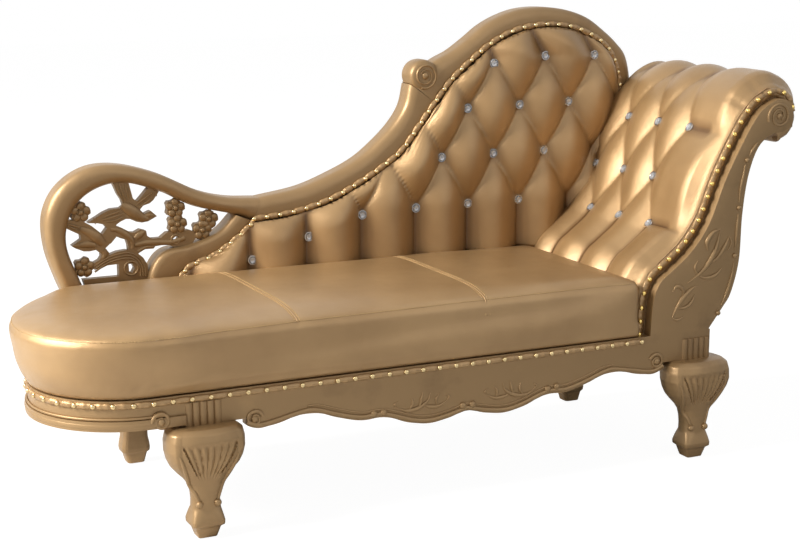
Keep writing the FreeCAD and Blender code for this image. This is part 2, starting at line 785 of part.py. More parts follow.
def make_fretwork():
    """The pierced panel inside the foot loop, cut from one board."""
    y_low = y_crest + size("fret_setback")
    y_high = y_low + size("fret_thickness")
    solids = []
    for outline in (FRET_SILL, BIRD_ABOVE, BIRD_BELOW, STEM, SCROLL):
        solids.append(solid_between(polygon(at(outline)), y_low, y_high))
    for flower in at(FLOWERS):
        solids.append(solid_between(blossom(flower, FLOWER_RADIUS), y_low, y_high))
        eye = Vector(flower.x, y_low, flower.y)
        solids.append(turned(eye, Vector(0, -1, 0), [(FLOWER_RADIUS * 0.4, -1), (FLOWER_RADIUS * 0.3, 3)], 8))
    motif = solids[0].fuse(solids[1:])
    holes = [solid_between(polygon(at(hole)), y_low - 1, y_high + 1) for hole in FRET_HOLES]
    window_left = offset(at(LOOP_INNER), -gap)
    window_right = offset(at(ARC_UPPER), gap)
    window = smooth(window_left) + smooth(window_right) + [
        line(window_left[0], window_right[0]), line(window_left[-1], window_right[-1])]
    panel = motif.common(solid_between(window, y_low - 5, y_high)).cut(holes)
    feature("fretwork_panel", max(panel.Solids, key=lambda solid: solid.Volume))


# Head arm

FACING_INNER = [
    (1055, 300), (1061, 380), (1078, 420), (1106, 442), (1160, 485), (1205, 545), (1245, 641),
    (1289, 723), (1318, 769), (1345, 798), (1387, 817), (1417, 807), (1427, 779), (1420, 754),
    (1400, 742),
]
FACING_OUTER = [
    (1400, 742), (1366, 737), (1331, 708), (1307, 645), (1295, 557), (1291, 454), (1272, 380),
    (1250, 347), (1213, 300),
]
ROLL_CENTRE = (1388, 778)
facing_inner = at(FACING_INNER)
facing_outer = at(FACING_OUTER)
roll_centre = at([ROLL_CENTRE])[0]
frame_lip = size("arm_cover_lip") - size("cover_thickness") - gap
ARM_STEPS = 24
y_facing_back = y_front + size("facing_thickness")
y_arm_back = y_crest - gap
arm_front = y_facing_back + size("arm_board")
arm_rear = y_arm_back - size("arm_board")


def make_arm_facing():
    """The carved front of the arm: an S that ends in a scroll, with a raised spiral and beads."""
    outline = smooth(facing_inner) + smooth(facing_outer) + [line(facing_outer[-1], facing_inner[0])]
    face = solid_between(outline, y_front, y_facing_back)
    profile = [(SCROLL_RADIUS, -1)] + SCROLL_RINGS
    scroll = turned(Vector(roll_centre.x, y_front, roll_centre.y), Vector(0, -1, 0), profile, 24)
    feature("arm_facing_front", face.fuse(scroll))


def arm_edge(reach, steps=ARM_STEPS):
    """Points of the arm's curve, moved outwards, at the places where its soft pieces bend."""
    points = offset(arm_places(steps), reach)
    points[0].y = z_frame
    return points


def arm_places(steps):
    wire = wire_of(smooth(facing_inner))
    places = wire.discretize(Number=steps + 1)
    if (places[0] - facing_inner[0]).Length > 1:
        places.reverse()
    return places


x_arm = min(point.x for point in arm_edge(frame_lip)) - gap


def arm_end_outline():
    """Outline of the boards that carry the arm, from the cover's inside to the outer sheet."""
    inner = arm_edge(frame_lip)
    outer = offset(facing_outer, -size("sheet_thickness") - 2.5)
    outer[-1].y = z_frame
    return polygon(inner + outer)


def make_arm_boards():
    """The two boards behind the facing and against the crest, under the arm's nailed edge."""
    outline = arm_end_outline()
    feature("arm_frame_front", solid_between(outline, y_facing_back, arm_front))
    feature("arm_frame_rear", solid_between(outline, arm_rear, y_arm_back))


def make_arm_inside():
    """Stretchers, roll core, bent plywood and foam between the two boards."""
    half = size("bar_section") / 2
    bars = []
    for x, z in ((1100, 330), (1190, 330), (1258, 560)):
        centre = at([(x, z)])[0]
        low = (centre.x - half, arm_front, centre.y - half)
        high = (centre.x + half, arm_rear, centre.y + half)
        bars.append(block_between(low, high))
    feature("arm_stretchers", Part.makeCompound(bars))
    core = turned(Vector(roll_centre.x, arm_rear, roll_centre.y), Vector(0, -1, 0),
                  [(size("roll_core_diameter") / 2, 0), (size("roll_core_diameter") / 2, arm_rear - arm_front)],
                  20)
    feature("arm_roll_core", core)
    panel = arm_edge(-10) + arm_edge(-4)[::-1]
    feature("arm_inner_panel", solid_between(polygon(panel), arm_front, arm_rear))
    foam = arm_edge(-4 + gap) + arm_edge(frame_lip)[::-1]
    feature("arm_foam", solid_between(polygon(foam), arm_front + gap, arm_rear - gap))


def make_arm_outside():
    """The sheet down the outer side of the arm."""
    top = facing_outer[0] + (facing_outer[1] - facing_outer[0]) * 0.1
    sheet_outline = strip([top] + facing_outer[1:], -size("sheet_thickness"), 0)
    feature("arm_outside_cover", solid_between(sheet_outline, y_facing_back, y_arm_back))


# Tufted covers


def tuft(u, v, width, height):
    """Swell of a diamond of tufting, none on the pleats and whole in the middle."""
    rising = math.sin(math.pi * (u / width + v / (2 * height)))
    falling = math.sin(math.pi * (u / width - v / (2 * height)))
    return math.sqrt(abs(rising * falling))


def swollen_sheet(grid, base):
    """A closed solid between a grid of surface points and the straight rows under it."""
    columns = len(grid)
    rows = len(grid[0])
    faces = []
    for i in range(columns - 1):
        for j in range(rows - 1):
            low, right, top, left = grid[i][j], grid[i + 1][j], grid[i + 1][j + 1], grid[i][j + 1]
            if (i + j) % 2:
                faces.append(flat_face([low, right, top]))
                faces.append(flat_face([low, top, left]))
            else:
                faces.append(flat_face([low, right, left]))
                faces.append(flat_face([right, top, left]))
    first, last = base[0], base[-1]
    for j in range(rows - 1):
        faces.append(flat_face([first[j], last[j], last[j + 1], first[j + 1]]))
    faces.append(flat_face([column[0] for column in grid] + [last[0], first[0]]))
    faces.append(flat_face([column[-1] for column in grid] + [last[-1], first[-1]]))
    faces.append(flat_face(grid[0] + first[::-1]))
    faces.append(flat_face(grid[-1] + last[::-1]))
    return closed_solid(faces)


back_front = y_rail + gap
x_tuft = along(846)
z_tuft = up(545)


def back_outline(shrink):
    """Opening of the back: arc rail, crest and head post, down to the rear rail."""
    seam = offset(back_seam, -size("band_width") / 2 - shrink)
    arc = offset(arc_lower, -shrink)
    post = post_edge(shrink)
    arc[0] = Vector(arc[0].x, z_frame + shrink, 0)
    arc[-1] = seam[0]
    return smooth(arc) + smooth(seam) + smooth(post) + [line(post[-1], arc[0])]


def inner_back_points(shrink):
    """The same opening, run by run, for pieces that nobody sees."""
    seam = offset(back_seam, -size("band_width") / 2 - shrink)
    arc = offset(arc_lower, -shrink)
    arc[0] = Vector(arc[0].x, z_frame, 0)
    post = post_edge(shrink)
    post[-1].y = z_frame
    return arc[:-1] + seam + post[1:]


def arm_keep_out():
    """Space of the arm and its cover, which the back cover meets."""
    reach = size("arm_cover_lip") + 1
    edge = arm_edge(reach)[:ARM_STEPS - 4]
    far = [Vector(edge[-1].x + 400, edge[-1].y, 0), Vector(edge[-1].x + 400, z_frame, 0)]
    return polygon(edge + far)


def make_back_cover():
    """The buttoned cover of the back, in diamonds above its lowest full row and upright pleats below."""
    step_x = size("tuft_width") / 4
    step_z = size("tuft_height") / 3
    low = z_seat + gap
    left = along(120)
    columns = math.ceil((along(1300) - left) / step_x) + 1
    rows = math.ceil((up(975) - low) / step_z) + 1
    first_x = x_tuft - math.ceil((x_tuft - left) / step_x) * step_x
    first_z = z_tuft - math.ceil((z_tuft - low) / step_z) * step_z
    grid = []
    base = []
    for i in range(columns):
        x = first_x + i * step_x
        surface = []
        under = []
        for j in range(rows + 1):
            z = first_z + j * step_z
            above = max(0, z - z_tuft)
            swell = tuft(x - x_tuft, above, size("tuft_width"), size("tuft_height"))
            surface.append(Vector(x, back_front - size("cover_thickness") - swell * size("tuft_swell"), z))
            under.append(Vector(x, back_front, z))
        grid.append(surface)
        base.append(under)
    cover = swollen_sheet(grid, base)
    opening = solid_between(back_outline(1), y_front, y_back)
    room = solid_between(arm_keep_out(), y_front, y_back)
    seat = block_between((x_foot, y_front, 0), (x_head + 400, y_back, low))
    feature("back_cover", cover.common(opening).cut([room, seat]))


def make_back_inside():
    """Foam, plywood and uprights in the opening of the back, and the sheet that closes it."""
    outline = back_outline(gap)
    hidden = polygon(inner_back_points(2))
    foam_back = back_front + size("foam_thickness")
    panel_back = foam_back + size("panel_thickness")
    sheet_front = y_back - size("sheet_thickness")
    feature("back_foam", solid_between(hidden, back_front, foam_back))
    feature("back_panel", solid_between(hidden, foam_back, panel_back))
    feature("back_outside_cover", solid_between(outline, sheet_front, y_back))
    prism = solid_between(hidden, panel_back, sheet_front)
    half = size("upright_width") / 2
    bars = []
    for share in (0.06, 0.27, 0.48, 0.69, 0.9):
        x = along(120) + (along(1284) - along(120)) * share
        bars.append(block_between((x - half, panel_back, z_frame), (x + half, sheet_front, up(1010))))
    uprights = [bar.common(prism) for bar in bars]
    feature("back_uprights", Part.makeCompound(uprights))


ARM_ROW = 251
ARM_BUTTON_Y = y_front + 278


def arm_surface(reach):
    """Points of the arm's curve moved outwards, with the outward direction and the length so far."""
    points = arm_edge(reach)
    places = arm_places(ARM_STEPS)
    samples = []
    length = 0.0
    for index, (place, point) in enumerate(zip(places, points)):
        if index:
            length += (place - places[index - 1]).Length
        tangent = tangents(places)[index]
        samples.append((length, point, Vector(-tangent.y, tangent.x, 0)))
    return samples


def make_arm_cover():
    """The buttoned cover of the arm, from the seat over the roll."""
    samples = arm_surface(frame_lip + gap)
    low = y_facing_back
    high = y_arm_back
    columns = round((high - low) / (size("arm_tuft_width") / 4))
    meets_back = y_arm_back - back_front + size("tuft_swell") + size("cover_thickness")
    end = samples[-1][0]
    grid = []
    base = []
    for i in range(columns + 1):
        y = low + (high - low) * i / columns
        surface = []
        under = []
        for length, point, outward in samples:
            above = max(0, length - ARM_ROW)
            swell = tuft(y - ARM_BUTTON_Y, above, size("arm_tuft_width"), size("arm_tuft_height"))
            edge = max(0, min(1, (y - low) / 30, (high - meets_back - y) / 30, (end - length) / 90))
            over = point + outward * (size("cover_thickness") + swell * size("arm_tuft_swell") * edge)
            surface.append(Vector(over.x, y, over.y))
            under.append(Vector(point.x, y, point.y))
        grid.append(surface)
        base.append(under)
    cover = swollen_sheet(grid, base)
    seat = block_between((x_foot, y_front - 50, 0), (x_head + 400, y_back, z_seat + gap))
    feature("arm_cover", max(cover.cut(seat).Solids, key=lambda solid: solid.Volume))


# Seat


def seat_ring(z, grow_front, grow_foot, rear):
    """A ring of points round the seat: along the front, round the foot and back along the rear."""
    path = foot_path(grow_foot, rear, along(0))
    corner, sweep, slant = path[1], path[2], path[3]
    points = [Vector(x_arm, y_front - grow_front, z)]
    bend = Vector(along(250), y_front - (grow_front + grow_foot) / 2, z)
    points.append(bend)
    for arc, count in ((corner, 7), (sweep, 5)):
        first, last = arc.FirstParameter, arc.LastParameter
        places = [arc.value(first + (last - first) * k / count) for k in range(count + 1)]
        if (places[0] - points[-1]).Length > (places[-1] - points[-1]).Length:
            places.reverse()
        points.extend(places[:-1])
    points.append(slant.StartPoint)
    points.append(slant.EndPoint)
    points.append(Vector(x_arm, rear, z))
    return [Vector(point.x, point.y, z) for point in points]


SEAT_SECTIONS = [(0, 0.0, 0.0), (0.25, 0.55, 0.35), (0.6, 0.95, 0.75), (0.9, 1.05, 1.0), (1.0, 1.0, 1.0)]


def make_seat():
    """The tight seat: cover with its crown over a block of foam."""
    rear = y_crest - gap
    rings = []
    for share, front, foot in SEAT_SECTIONS:
        z = z_frame + size("seat_rise") * share
        rings.append(seat_ring(z, size("seat_front_bulge") * front, size("seat_bulge") * foot, rear))
    crown = [(0.45, -6), (0.8, -22), (1.0, -60)]
    for share, inset in crown:
        z = z_seam + size("seat_crown") * share
        rings.append(seat_ring(z, size("seat_front_bulge") + inset, size("seat_bulge") + inset, rear))
    outside = stacked_rings(rings)
    thick = size("cover_thickness")
    foam_rings = []
    for share, front, foot in (SEAT_SECTIONS[0], SEAT_SECTIONS[2], SEAT_SECTIONS[4]):
        z = z_frame + (size("seat_rise") - thick / 2) * share
        foam_rings.append(seat_ring(z, size("seat_front_bulge") * front - thick,
                                    size("seat_bulge") * foot - thick, rear - thick))
    foam_rings.append(seat_ring(z_seat - thick, size("seat_front_bulge") - 60, size("seat_bulge") - 60,
                                rear - thick))
    hollow = stacked_rings(foam_rings)
    feature("seat_cover", outside.cut(hollow))
    foam_low = z_frame + size("spring_wire") + 6 + gap
    trim = block_between((x_foot - 600, y_front - 100, 0), (x_head + 400, y_back, foam_low))
    feature("seat_foam", hollow.cut(trim))


def make_springs():
    """Zigzag wire springs from the front apron to the rear rail, with a clip at each end."""
    wire = size("spring_wire")
    half = size("spring_width") / 2
    front = y_front + 16
    rear = y_rail - 20
    bends = 10
    count = int(size("spring_count"))
    springs = []
    clips = []
    for index in range(count):
        x = x_foot + 60 + (size("leg_spacing") - 280) * index / (count - 1)
        middle = []
        for bend in range(bends + 1):
            y = front + (rear - front) * bend / bends
            side = half if bend % 2 else -half
            if bend in (0, bends):
                side = 0
            middle.append(Vector(x + side, y, 0))
        left = offset(middle, wire / 2)
        right = offset(middle, -wire / 2)
        face = flat_face([Vector(point.x, point.y, z_frame) for point in left + right[::-1]])
        springs.append(face.extrude(Vector(0, 0, wire)))
        for y in (front, rear):
            low = (x - 12, y - 6, z_frame + wire + gap)
            clips.append(block_between(low, (x + 12, y + 6, low[2] + 2)))
    feature("seat_springs", Part.makeCompound(springs))
    feature("spring_clips", Part.makeCompound(clips))


def make_seat_inside():
    """Stretchers, corner blocks, springs, the pad over them and the cloth under them."""
    front = y_front + size("apron_thickness")
    rear = y_rail - size("apron_thickness")
    bars = []
    for share in (0.33, 0.67):
        x = x_foot + size("leg_spacing") * share
        bars.append(block_between((x - 11, front, z_block), (x + 11, rear, z_frame - 20)))
    feature("seat_stretchers", Part.makeCompound(bars))
    make_springs()
    pad_low = z_frame + size("spring_wire") + gap + 2 + gap
    pad_front = y_front + 34
    pad_rear = y_rail - 34
    pad = block_between((x_foot - 60, pad_front - 10, pad_low), (x_head - 160, pad_rear + 10, pad_low + 3))
    feature("spring_pad", pad)
    cloth = block_between((x_foot - 60, front + gap, z_block - 1), (x_head - 20, rear + 12, z_block))
    corner = size("block_width")
    head_cut = block_between((x_head - corner, y_front, 0), (x_head, y_front + corner, z_block))
    foot_cut = block_between((x_foot - 80, y_front, 0), (x_foot + 90, y_front + corner, z_block))
    head_side = block_between((x_head - 90, y_front, 0), (x_head, y_front + corner, z_block))
    feature("dust_cover", cloth.cut([head_cut, foot_cut, head_side]))


# Nails, bands and buttons


def facing_nails(places, y):
    """Nail heads on a front face in the side view."""
    radius = size("nail_diameter") / 2
    return [pyramid(Vector(place.x, y, place.y), Vector(0, -1, 0), radius, radius * 0.7) for place, _ in places]


def make_back_trim():
    """Folded band and nails along the crest and along the arc rail."""
    half = size("band_width") / 2
    band_front = y_crest - size("band_thickness")
    arc = offset(arc_lower[2:-1] + [arc_lower[-2] + (arc_lower[-1] - arc_lower[-2]) * 0.7], half + 1.8)
    seam = back_seam[:-2]
    crest_band = solid_between(strip(stations(smooth(seam), 25), -half, half), band_front, y_crest)
    arc_band = solid_between(strip(stations(smooth(arc), 25), -half, half), band_front, y_crest)
    feature("crest_band", crest_band)
    feature("arc_band", arc_band)
    heads = facing_nails(spaced(smooth(seam), size("nail_pitch"), 14), band_front)
    heads += facing_nails(spaced(smooth(arc), size("nail_pitch"), 16), band_front)
    feature("back_nails", Part.makeCompound(heads))


def make_arm_trim():
    """Folded band and nails round the facing of the arm."""
    middle = offset(facing_inner[:-2], 16)
    half = size("band_width") / 2
    middle[0].y = z_frame
    front = y_facing_back - size("band_thickness")
    edge = strip(stations(smooth(middle), 20), -half, half)
    feature("arm_band", solid_between(edge, front, y_facing_back))
    heads = facing_nails(spaced(smooth(middle), size("nail_pitch"), 14), front)
    feature("arm_nails", Part.makeCompound(heads))


def make_seat_trim():
    """Folded band and nails round the top of the aprons."""
    thick = size("band_thickness")
    x_end = along(1030)
    start = Vector(x_end, y_front, 0)
    inner = foot_path(0, y_rail, x_foot_joint)[:4]
    outer = foot_path(thick, y_rail, x_foot_joint)[:4]
    inner[0] = line(start, inner[0].EndPoint)
    outer[0] = line(start + Vector(0, -thick, 0), outer[0].EndPoint)
    outline = closed_between(outer, inner)
    plan_board("seat_band", outline, "dims.band_width", f"{Z_FRAME} - dims.band_width - 4")
    radius = size("nail_diameter") / 2
    height = z_frame - 4 - size("band_width") / 2
    heads = []
    for place, ahead in spaced(outer, size("seat_nail_pitch"), 14):
        outward = Vector(-ahead.y, ahead.x, 0)
        if outward.dot(Vector(0, -1, 0)) + outward.dot(Vector(-1, 0, 0)) < 0:
            outward = outward * -1
        foot = Vector(place.x, place.y, height) + outward * 0.1
        heads.append(pyramid(foot, outward, radius, radius * 0.7))
    feature("seat_nails", Part.makeCompound(heads))


def button(centre, outward, slope, cups, glasses):
    """A metal cup, pointed into the slopes of the tufts round it, with a glass set in its top."""
    outward = Vector(outward).normalize()
    radius = size("button_diameter") / 2
    depth = radius * slope + 1
    cups.append(turned(centre, outward, [(1, slope + 1), (radius, depth), (radius * 0.75, depth + 2)], 8))
    glass = size("crystal_diameter") / 2
    glasses.append(pyramid(centre + outward * (depth + 2), outward, glass, 4, 8))


def make_buttons():
    """Buttons at the crossings of the pleats of the back and of the arm."""
    cups = []
    glasses = []
    steep = size("tuft_swell") / (size("tuft_height") / 3) * math.sqrt(0.75)
    shallow = size("arm_tuft_swell") / (size("arm_tuft_width") / 4) * math.sqrt(0.5) + 0.1
    surface = back_front - size("cover_thickness")
    rows = [
        (-1, (426,)), (-2, (286,)), (0, (566, 706, 846, 986)), (1, (776, 916, 1056)),
        (2, (846, 986, 1126)), (3, (916, 1056, 1196)),
    ]
    for row, places in rows:
        z = z_tuft + row * size("tuft_height") * (1 if row >= 0 else 0.42)
        for place in places:
            x = x_tuft + (place - 846) * size("tuft_width") / 140
            button(Vector(x, surface, z), Vector(0, -1, 0), steep, cups, glasses)
    feature("back_button_cups", Part.makeCompound(cups))
    feature("back_button_crystals", Part.makeCompound(glasses))
    cups = []
    glasses = []
    samples = arm_surface(frame_lip + gap + size("cover_thickness"))
    for row in range(4):
        place = ARM_ROW + row * size("arm_tuft_height")
        _, point, outward = min(samples, key=lambda sample: abs(sample[0] - place))
        shift = size("arm_tuft_width") / 2 * (row % 2)
        for column in (-1, 0, 1):
            y = ARM_BUTTON_Y + column * size("arm_tuft_width") + shift
            if y_facing_back + 40 < y < y_arm_back - 20:
                direction = Vector(outward.x, 0, outward.y)
                seat = Vector(point.x, y, point.y) + direction * gap
                button(seat, direction, shallow, cups, glasses)
    feature("arm_button_cups", Part.makeCompound(cups))
    feature("arm_button_crystals", Part.makeCompound(glasses))


make_front_apron()
make_foot_apron()
make_rails()
make_leg_block("leg_block_foot", X_FOOT)
make_leg_block("leg_block_head", X_HEAD)
make_front_leg("leg_front_foot", x_foot)
make_front_leg("leg_front_head", x_head)
make_rear_leg("leg_rear_foot", leg_places["rear_foot"][0])
make_rear_leg("leg_rear_head", leg_places["rear_head"][0])
make_glides()
make_crest()
make_arc_rail()
make_fretwork()
make_arm_facing()
make_arm_boards()
make_arm_inside()
make_arm_outside()
make_back_cover()
make_back_inside()
make_arm_cover()
make_seat()
make_seat_inside()
make_back_trim()
make_arm_trim()
make_seat_trim()
make_buttons()
doc.recompute()

for item in doc.Objects:
    if "Invalid" in item.State or "Error" in item.State:
        raise RuntimeError(f"{item.Label} failed: {item.State}")
for piece in pieces:
    if piece.Shape.isNull() or not piece.Shape.isValid() or not piece.Shape.Solids:
        raise RuntimeError(f"{piece.Label} has no valid shape")

os.makedirs("parts", exist_ok=True)
for piece in pieces:
    piece.Shape.exportStep(f"parts/{piece.Label}.step")
print(len(pieces), "pieces")
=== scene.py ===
"""Looks for a fainting couch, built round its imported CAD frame.

Lengths are metres, but for drawn outlines, which are millimetres.
"""

import json
import math

import bpy
import bmesh
from mathutils import Matrix, Vector
from mathutils.bvhtree import BVHTree


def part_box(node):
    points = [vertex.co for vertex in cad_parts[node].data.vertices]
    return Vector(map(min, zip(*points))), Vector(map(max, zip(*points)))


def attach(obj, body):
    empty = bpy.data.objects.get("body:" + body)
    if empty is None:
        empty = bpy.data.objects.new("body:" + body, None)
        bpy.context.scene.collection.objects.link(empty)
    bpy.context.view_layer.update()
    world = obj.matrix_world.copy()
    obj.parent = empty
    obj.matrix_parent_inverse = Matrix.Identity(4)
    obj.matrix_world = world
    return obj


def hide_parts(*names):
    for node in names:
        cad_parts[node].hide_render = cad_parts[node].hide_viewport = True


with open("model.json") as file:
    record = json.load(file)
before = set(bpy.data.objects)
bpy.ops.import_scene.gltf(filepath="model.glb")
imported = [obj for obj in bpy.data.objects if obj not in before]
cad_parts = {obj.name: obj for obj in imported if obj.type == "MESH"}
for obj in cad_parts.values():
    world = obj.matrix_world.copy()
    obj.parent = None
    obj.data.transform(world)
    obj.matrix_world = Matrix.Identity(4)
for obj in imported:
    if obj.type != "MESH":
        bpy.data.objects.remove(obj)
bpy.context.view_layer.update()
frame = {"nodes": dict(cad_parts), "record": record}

bl_info = {
    "name": "Fainting couch",
    "version": (1, 0, 0),
    "blender": (4, 5, 0),
    "location": "3D View > Sidebar > Couch",
    "description": "Carved and gilded couch with a buttoned back and a rolled arm",
    "category": "Object",
}

# Places in the frame of the CAD part
LEG_X = -0.561
Y_FRONT = -0.250
Y_CREST = 0.245
Y_BACK = 0.300
Z_FRAME = 0.300
Z_SEAT = 0.438
TO_FRONT = Vector((0, -1, 0))
UP = Vector((0, 0, 1))

# Outlines of the side view, measured from the foot leg, in millimetres
LOOP_OUTER = [
    (-112, 300), (-122, 366), (-150, 434), (-174, 512), (-175, 586), (-144, 645), (-84, 683),
    (-12, 688), (80, 663), (176, 617), (246, 598), (318, 592),
]
LOOP_INNER = [
    (-62, 300), (-72, 366), (-103, 436), (-131, 521), (-116, 591), (-70, 634), (-1, 648),
    (85, 622), (159, 585), (258, 558), (299, 541),
]
ARC_UPPER = [(48, 300), (48, 400), (58, 452), (90, 487), (150, 497), (217, 521), (258, 558)]
ARC_LOWER = [(100, 300), (106, 385), (135, 444), (206, 473), (264, 511), (299, 541)]
SWEEP_OUTER = [
    (318, 592), (420, 608), (497, 634), (565, 665), (617, 703), (660, 744), (688, 786), (700, 836),
]
HUMP_OUTER = [
    (701, 838), (738, 862), (772, 889), (815, 909), (859, 938), (898, 966), (943, 988),
    (998, 1004), (1063, 1008), (1128, 1000), (1186, 981), (1235, 949), (1275, 916), (1305, 878),
    (1320, 800), (1316, 700),
]
BACK_SEAM = [
    (299, 547), (376, 553), (441, 565), (502, 584), (561, 612), (618, 644), (673, 682), (717, 736),
    (760, 790), (803, 842), (855, 886), (910, 926), (975, 955), (1042, 967), (1113, 964),
    (1170, 949), (1222, 921), (1258, 880), (1280, 800), (1284, 700),
]
SEAM_SPLIT = 8
EAR_CENTRE = (736, 855)
FACING_INNER = [
    (1055, 300), (1061, 380), (1078, 420), (1106, 442), (1160, 485), (1205, 545), (1245, 641),
    (1289, 723), (1318, 769), (1345, 798), (1387, 817), (1417, 807), (1427, 779), (1420, 754),
    (1400, 742),
]
FACING_OUTER = [
    (1400, 742), (1366, 737), (1331, 708), (1307, 645), (1295, 557), (1291, 454), (1272, 380),
    (1250, 347), (1213, 300),
]
ROLL_CENTRE = (1388, 778)
APRON_EDGE = [
    (0, 187), (48, 176), (90, 171), (130, 177), (197, 198), (248, 198), (300, 211), (345, 226),
    (373, 228), (448, 214), (477, 212), (500, 221),
]
APRON_MIDDLE = 590
BACK_BUTTONS = [
    (913, 879), (1056, 893), (1196, 890), (843, 775), (986, 777), (1124, 779), (774, 661),
    (914, 663), (1056, 662), (566, 538), (706, 544), (846, 545), (986, 545), (430, 497), (290, 454),
]


class CouchSettings(bpy.types.PropertyGroup):
    """Sizes and colours that someone may change."""

    back_swell: bpy.props.FloatProperty(
        name="Back swell", description="Height of a tuft of the back", default=0.038, unit="LENGTH")
    arm_swell: bpy.props.FloatProperty(
        name="Arm swell", description="Height of a tuft of the arm", default=0.021, unit="LENGTH")
    nail_radius: bpy.props.FloatProperty(
        name="Nail radius", description="Radius of a domed nail head", default=0.0056,
        unit="LENGTH")
    button_radius: bpy.props.FloatProperty(
        name="Button radius", description="Radius of a glass button's rim", default=0.0118,
        unit="LENGTH")
    bead_radius: bpy.props.FloatProperty(
        name="Moulding radius", description="Raised moulding on the aprons", default=0.0055,
        unit="LENGTH")
    seat_voxel: bpy.props.FloatProperty(
        name="Seat voxel", description="Remesh size of the seat before it is inflated",
        default=0.006, unit="LENGTH")
    seat_cap: bpy.props.FloatProperty(
        name="Seat cap", description="Most that a point of the seat may move", default=0.006,
        unit="LENGTH")
    gilt: bpy.props.FloatVectorProperty(
        name="Gilding", description="Gold paint on the carved wood", subtype="COLOR", size=4,
        default=(0.33, 0.21, 0.098, 1))
    gilt_dark: bpy.props.FloatVectorProperty(
        name="Gilding in hollows", description="Wash left in the carving", subtype="COLOR", size=4,
        default=(0.23, 0.142, 0.066, 1))
    leather: bpy.props.FloatVectorProperty(
        name="Leather", description="Champagne leatherette", subtype="COLOR", size=4,
        default=(0.44, 0.28, 0.13, 1))
    leather_deep: bpy.props.FloatVectorProperty(
        name="Leather in folds", description="Darker tone of the leatherette", subtype="COLOR",
        size=4, default=(0.35, 0.215, 0.095, 1))


def settings():
    return bpy.context.scene.couch


# Curves


def clamp(share):
    return min(1, max(0, share))


def at(points):
    """Drawn points of the side view as (x, z) in metres."""
    return [Vector((x / 1000 + LEG_X, z / 1000)) for x, z in points]


def resample(points, count):
    """Evenly spaced points along a run of points."""
    lengths = [0.0]
    for before, here in zip(points, points[1:]):
        lengths.append(lengths[-1] + (here - before).length)
    places = []
    step = 0
    for index in range(count):
        target = lengths[-1] * index / (count - 1)
        while step < len(points) - 2 and lengths[step + 1] < target:
            step += 1
        span = max(lengths[step + 1] - lengths[step], 1e-9)
        places.append(points[step].lerp(points[step + 1], clamp((target - lengths[step]) / span)))
    return places


def curve(points, count):
    """Evenly spaced points on a smooth line through the given ones."""
    ends = [points[0] * 2 - points[1]] + list(points) + [points[-1] * 2 - points[-2]]
    fine = []
    for before, start, end, after in zip(ends, ends[1:], ends[2:], ends[3:]):
        for step in range(12):
            t = step / 12
            fine.append(0.5 * (
                2 * start + (end - before) * t + (2 * before - 5 * start + 4 * end - after) * t * t
                + (3 * start - before - 3 * end + after) * t ** 3))
    fine.append(points[-1])
    return resample(fine, count)


def run_length(points):
    return sum((b - a).length for a, b in zip(points, points[1:]))


def headings(points):
    """Unit direction of travel at each point."""
    result = []
    for index in range(len(points)):
        low = max(index - 1, 0)
        high = min(index + 1, len(points) - 1)
        result.append((points[high] - points[low]).normalized())
    return result


def shifted(points, distance):
    """Points moved to the left of the direction of travel."""
    return [
        point + Vector((-ahead.y, ahead.x)) * distance
        for point, ahead in zip(points, headings(points))
    ]


def raised(points, y):
    """Side-view points as points in space at a depth."""
    return [Vector((point.x, y, point.y)) for point in points]


# Mesh makers


def cloth_grid(across, along, place):
    """A sheet of faces whose points are put in place by a function of two shares."""
    bm = bmesh.new()
    bmesh.ops.create_grid(bm, x_segments=across, y_segments=along, size=0.5)
    for vert in bm.verts:
        vert.co = place(vert.co.x + 0.5, vert.co.y + 0.5)
    return bm


def lofted(rings, bm=None):
    """A closed skin over rings of points, all with the same count."""
    bm = bm or bmesh.new()
    loops = []
    for ring in rings:
        loops.append([bm.verts.new(point) for point in ring])
    for before, here in zip(loops, loops[1:]):
        for index in range(len(here)):
            after = (index + 1) % len(here)
            bm.faces.new((before[index], before[after], here[after], here[index]))
    bm.faces.new(loops[0][::-1])
    bm.faces.new(loops[-1])
    return bm


def oval(centre, across, over, wide, tall, sides):
    """Points of an oval round a centre."""
    ring = []
    for side in range(sides):
        angle = 2 * math.pi * side / sides
        ring.append(centre + across * (wide * math.cos(angle)) + over * (tall * math.sin(angle)))
    return ring


def tube(path, radii, sides=8, bm=None, flat=1.0, up=TO_FRONT):
    """A round rod along a path, with its own radius at each point, pressed flat towards up."""
    rings = []
    for index, point in enumerate(path):
        low = max(index - 1, 0)
        high = min(index + 1, len(path) - 1)
        ahead = (path[high] - path[low]).normalized()
        across = ahead.cross(up).normalized()
        over = across.cross(ahead).normalized()
        radius = radii[index] if isinstance(radii, list) else radii
        rings.append(oval(point, across, over, radius, radius * flat, sides))
    return lofted(rings, bm)


def turn_towards(outward):
    """Rotation that lays +Z along a direction."""
    return UP.rotation_difference(outward).to_matrix().to_4x4()


def dome(bm, centre, outward, radius, height, segments, rings):
    """A domed head, pressed flat along its axis."""
    flat = Matrix.Diagonal((1, 1, height / radius, 1))
    place = Matrix.Translation(centre) @ turn_towards(outward) @ flat
    bmesh.ops.create_uvsphere(
        bm, u_segments=segments, v_segments=rings, radius=radius, matrix=place)


def boss(bm, point, y, radius, height, segments=16, rings=8):
    """A dome on a front face, over a point of the side view."""
    dome(bm, Vector((point.x, y, point.y)), TO_FRONT, radius, height, segments, rings)


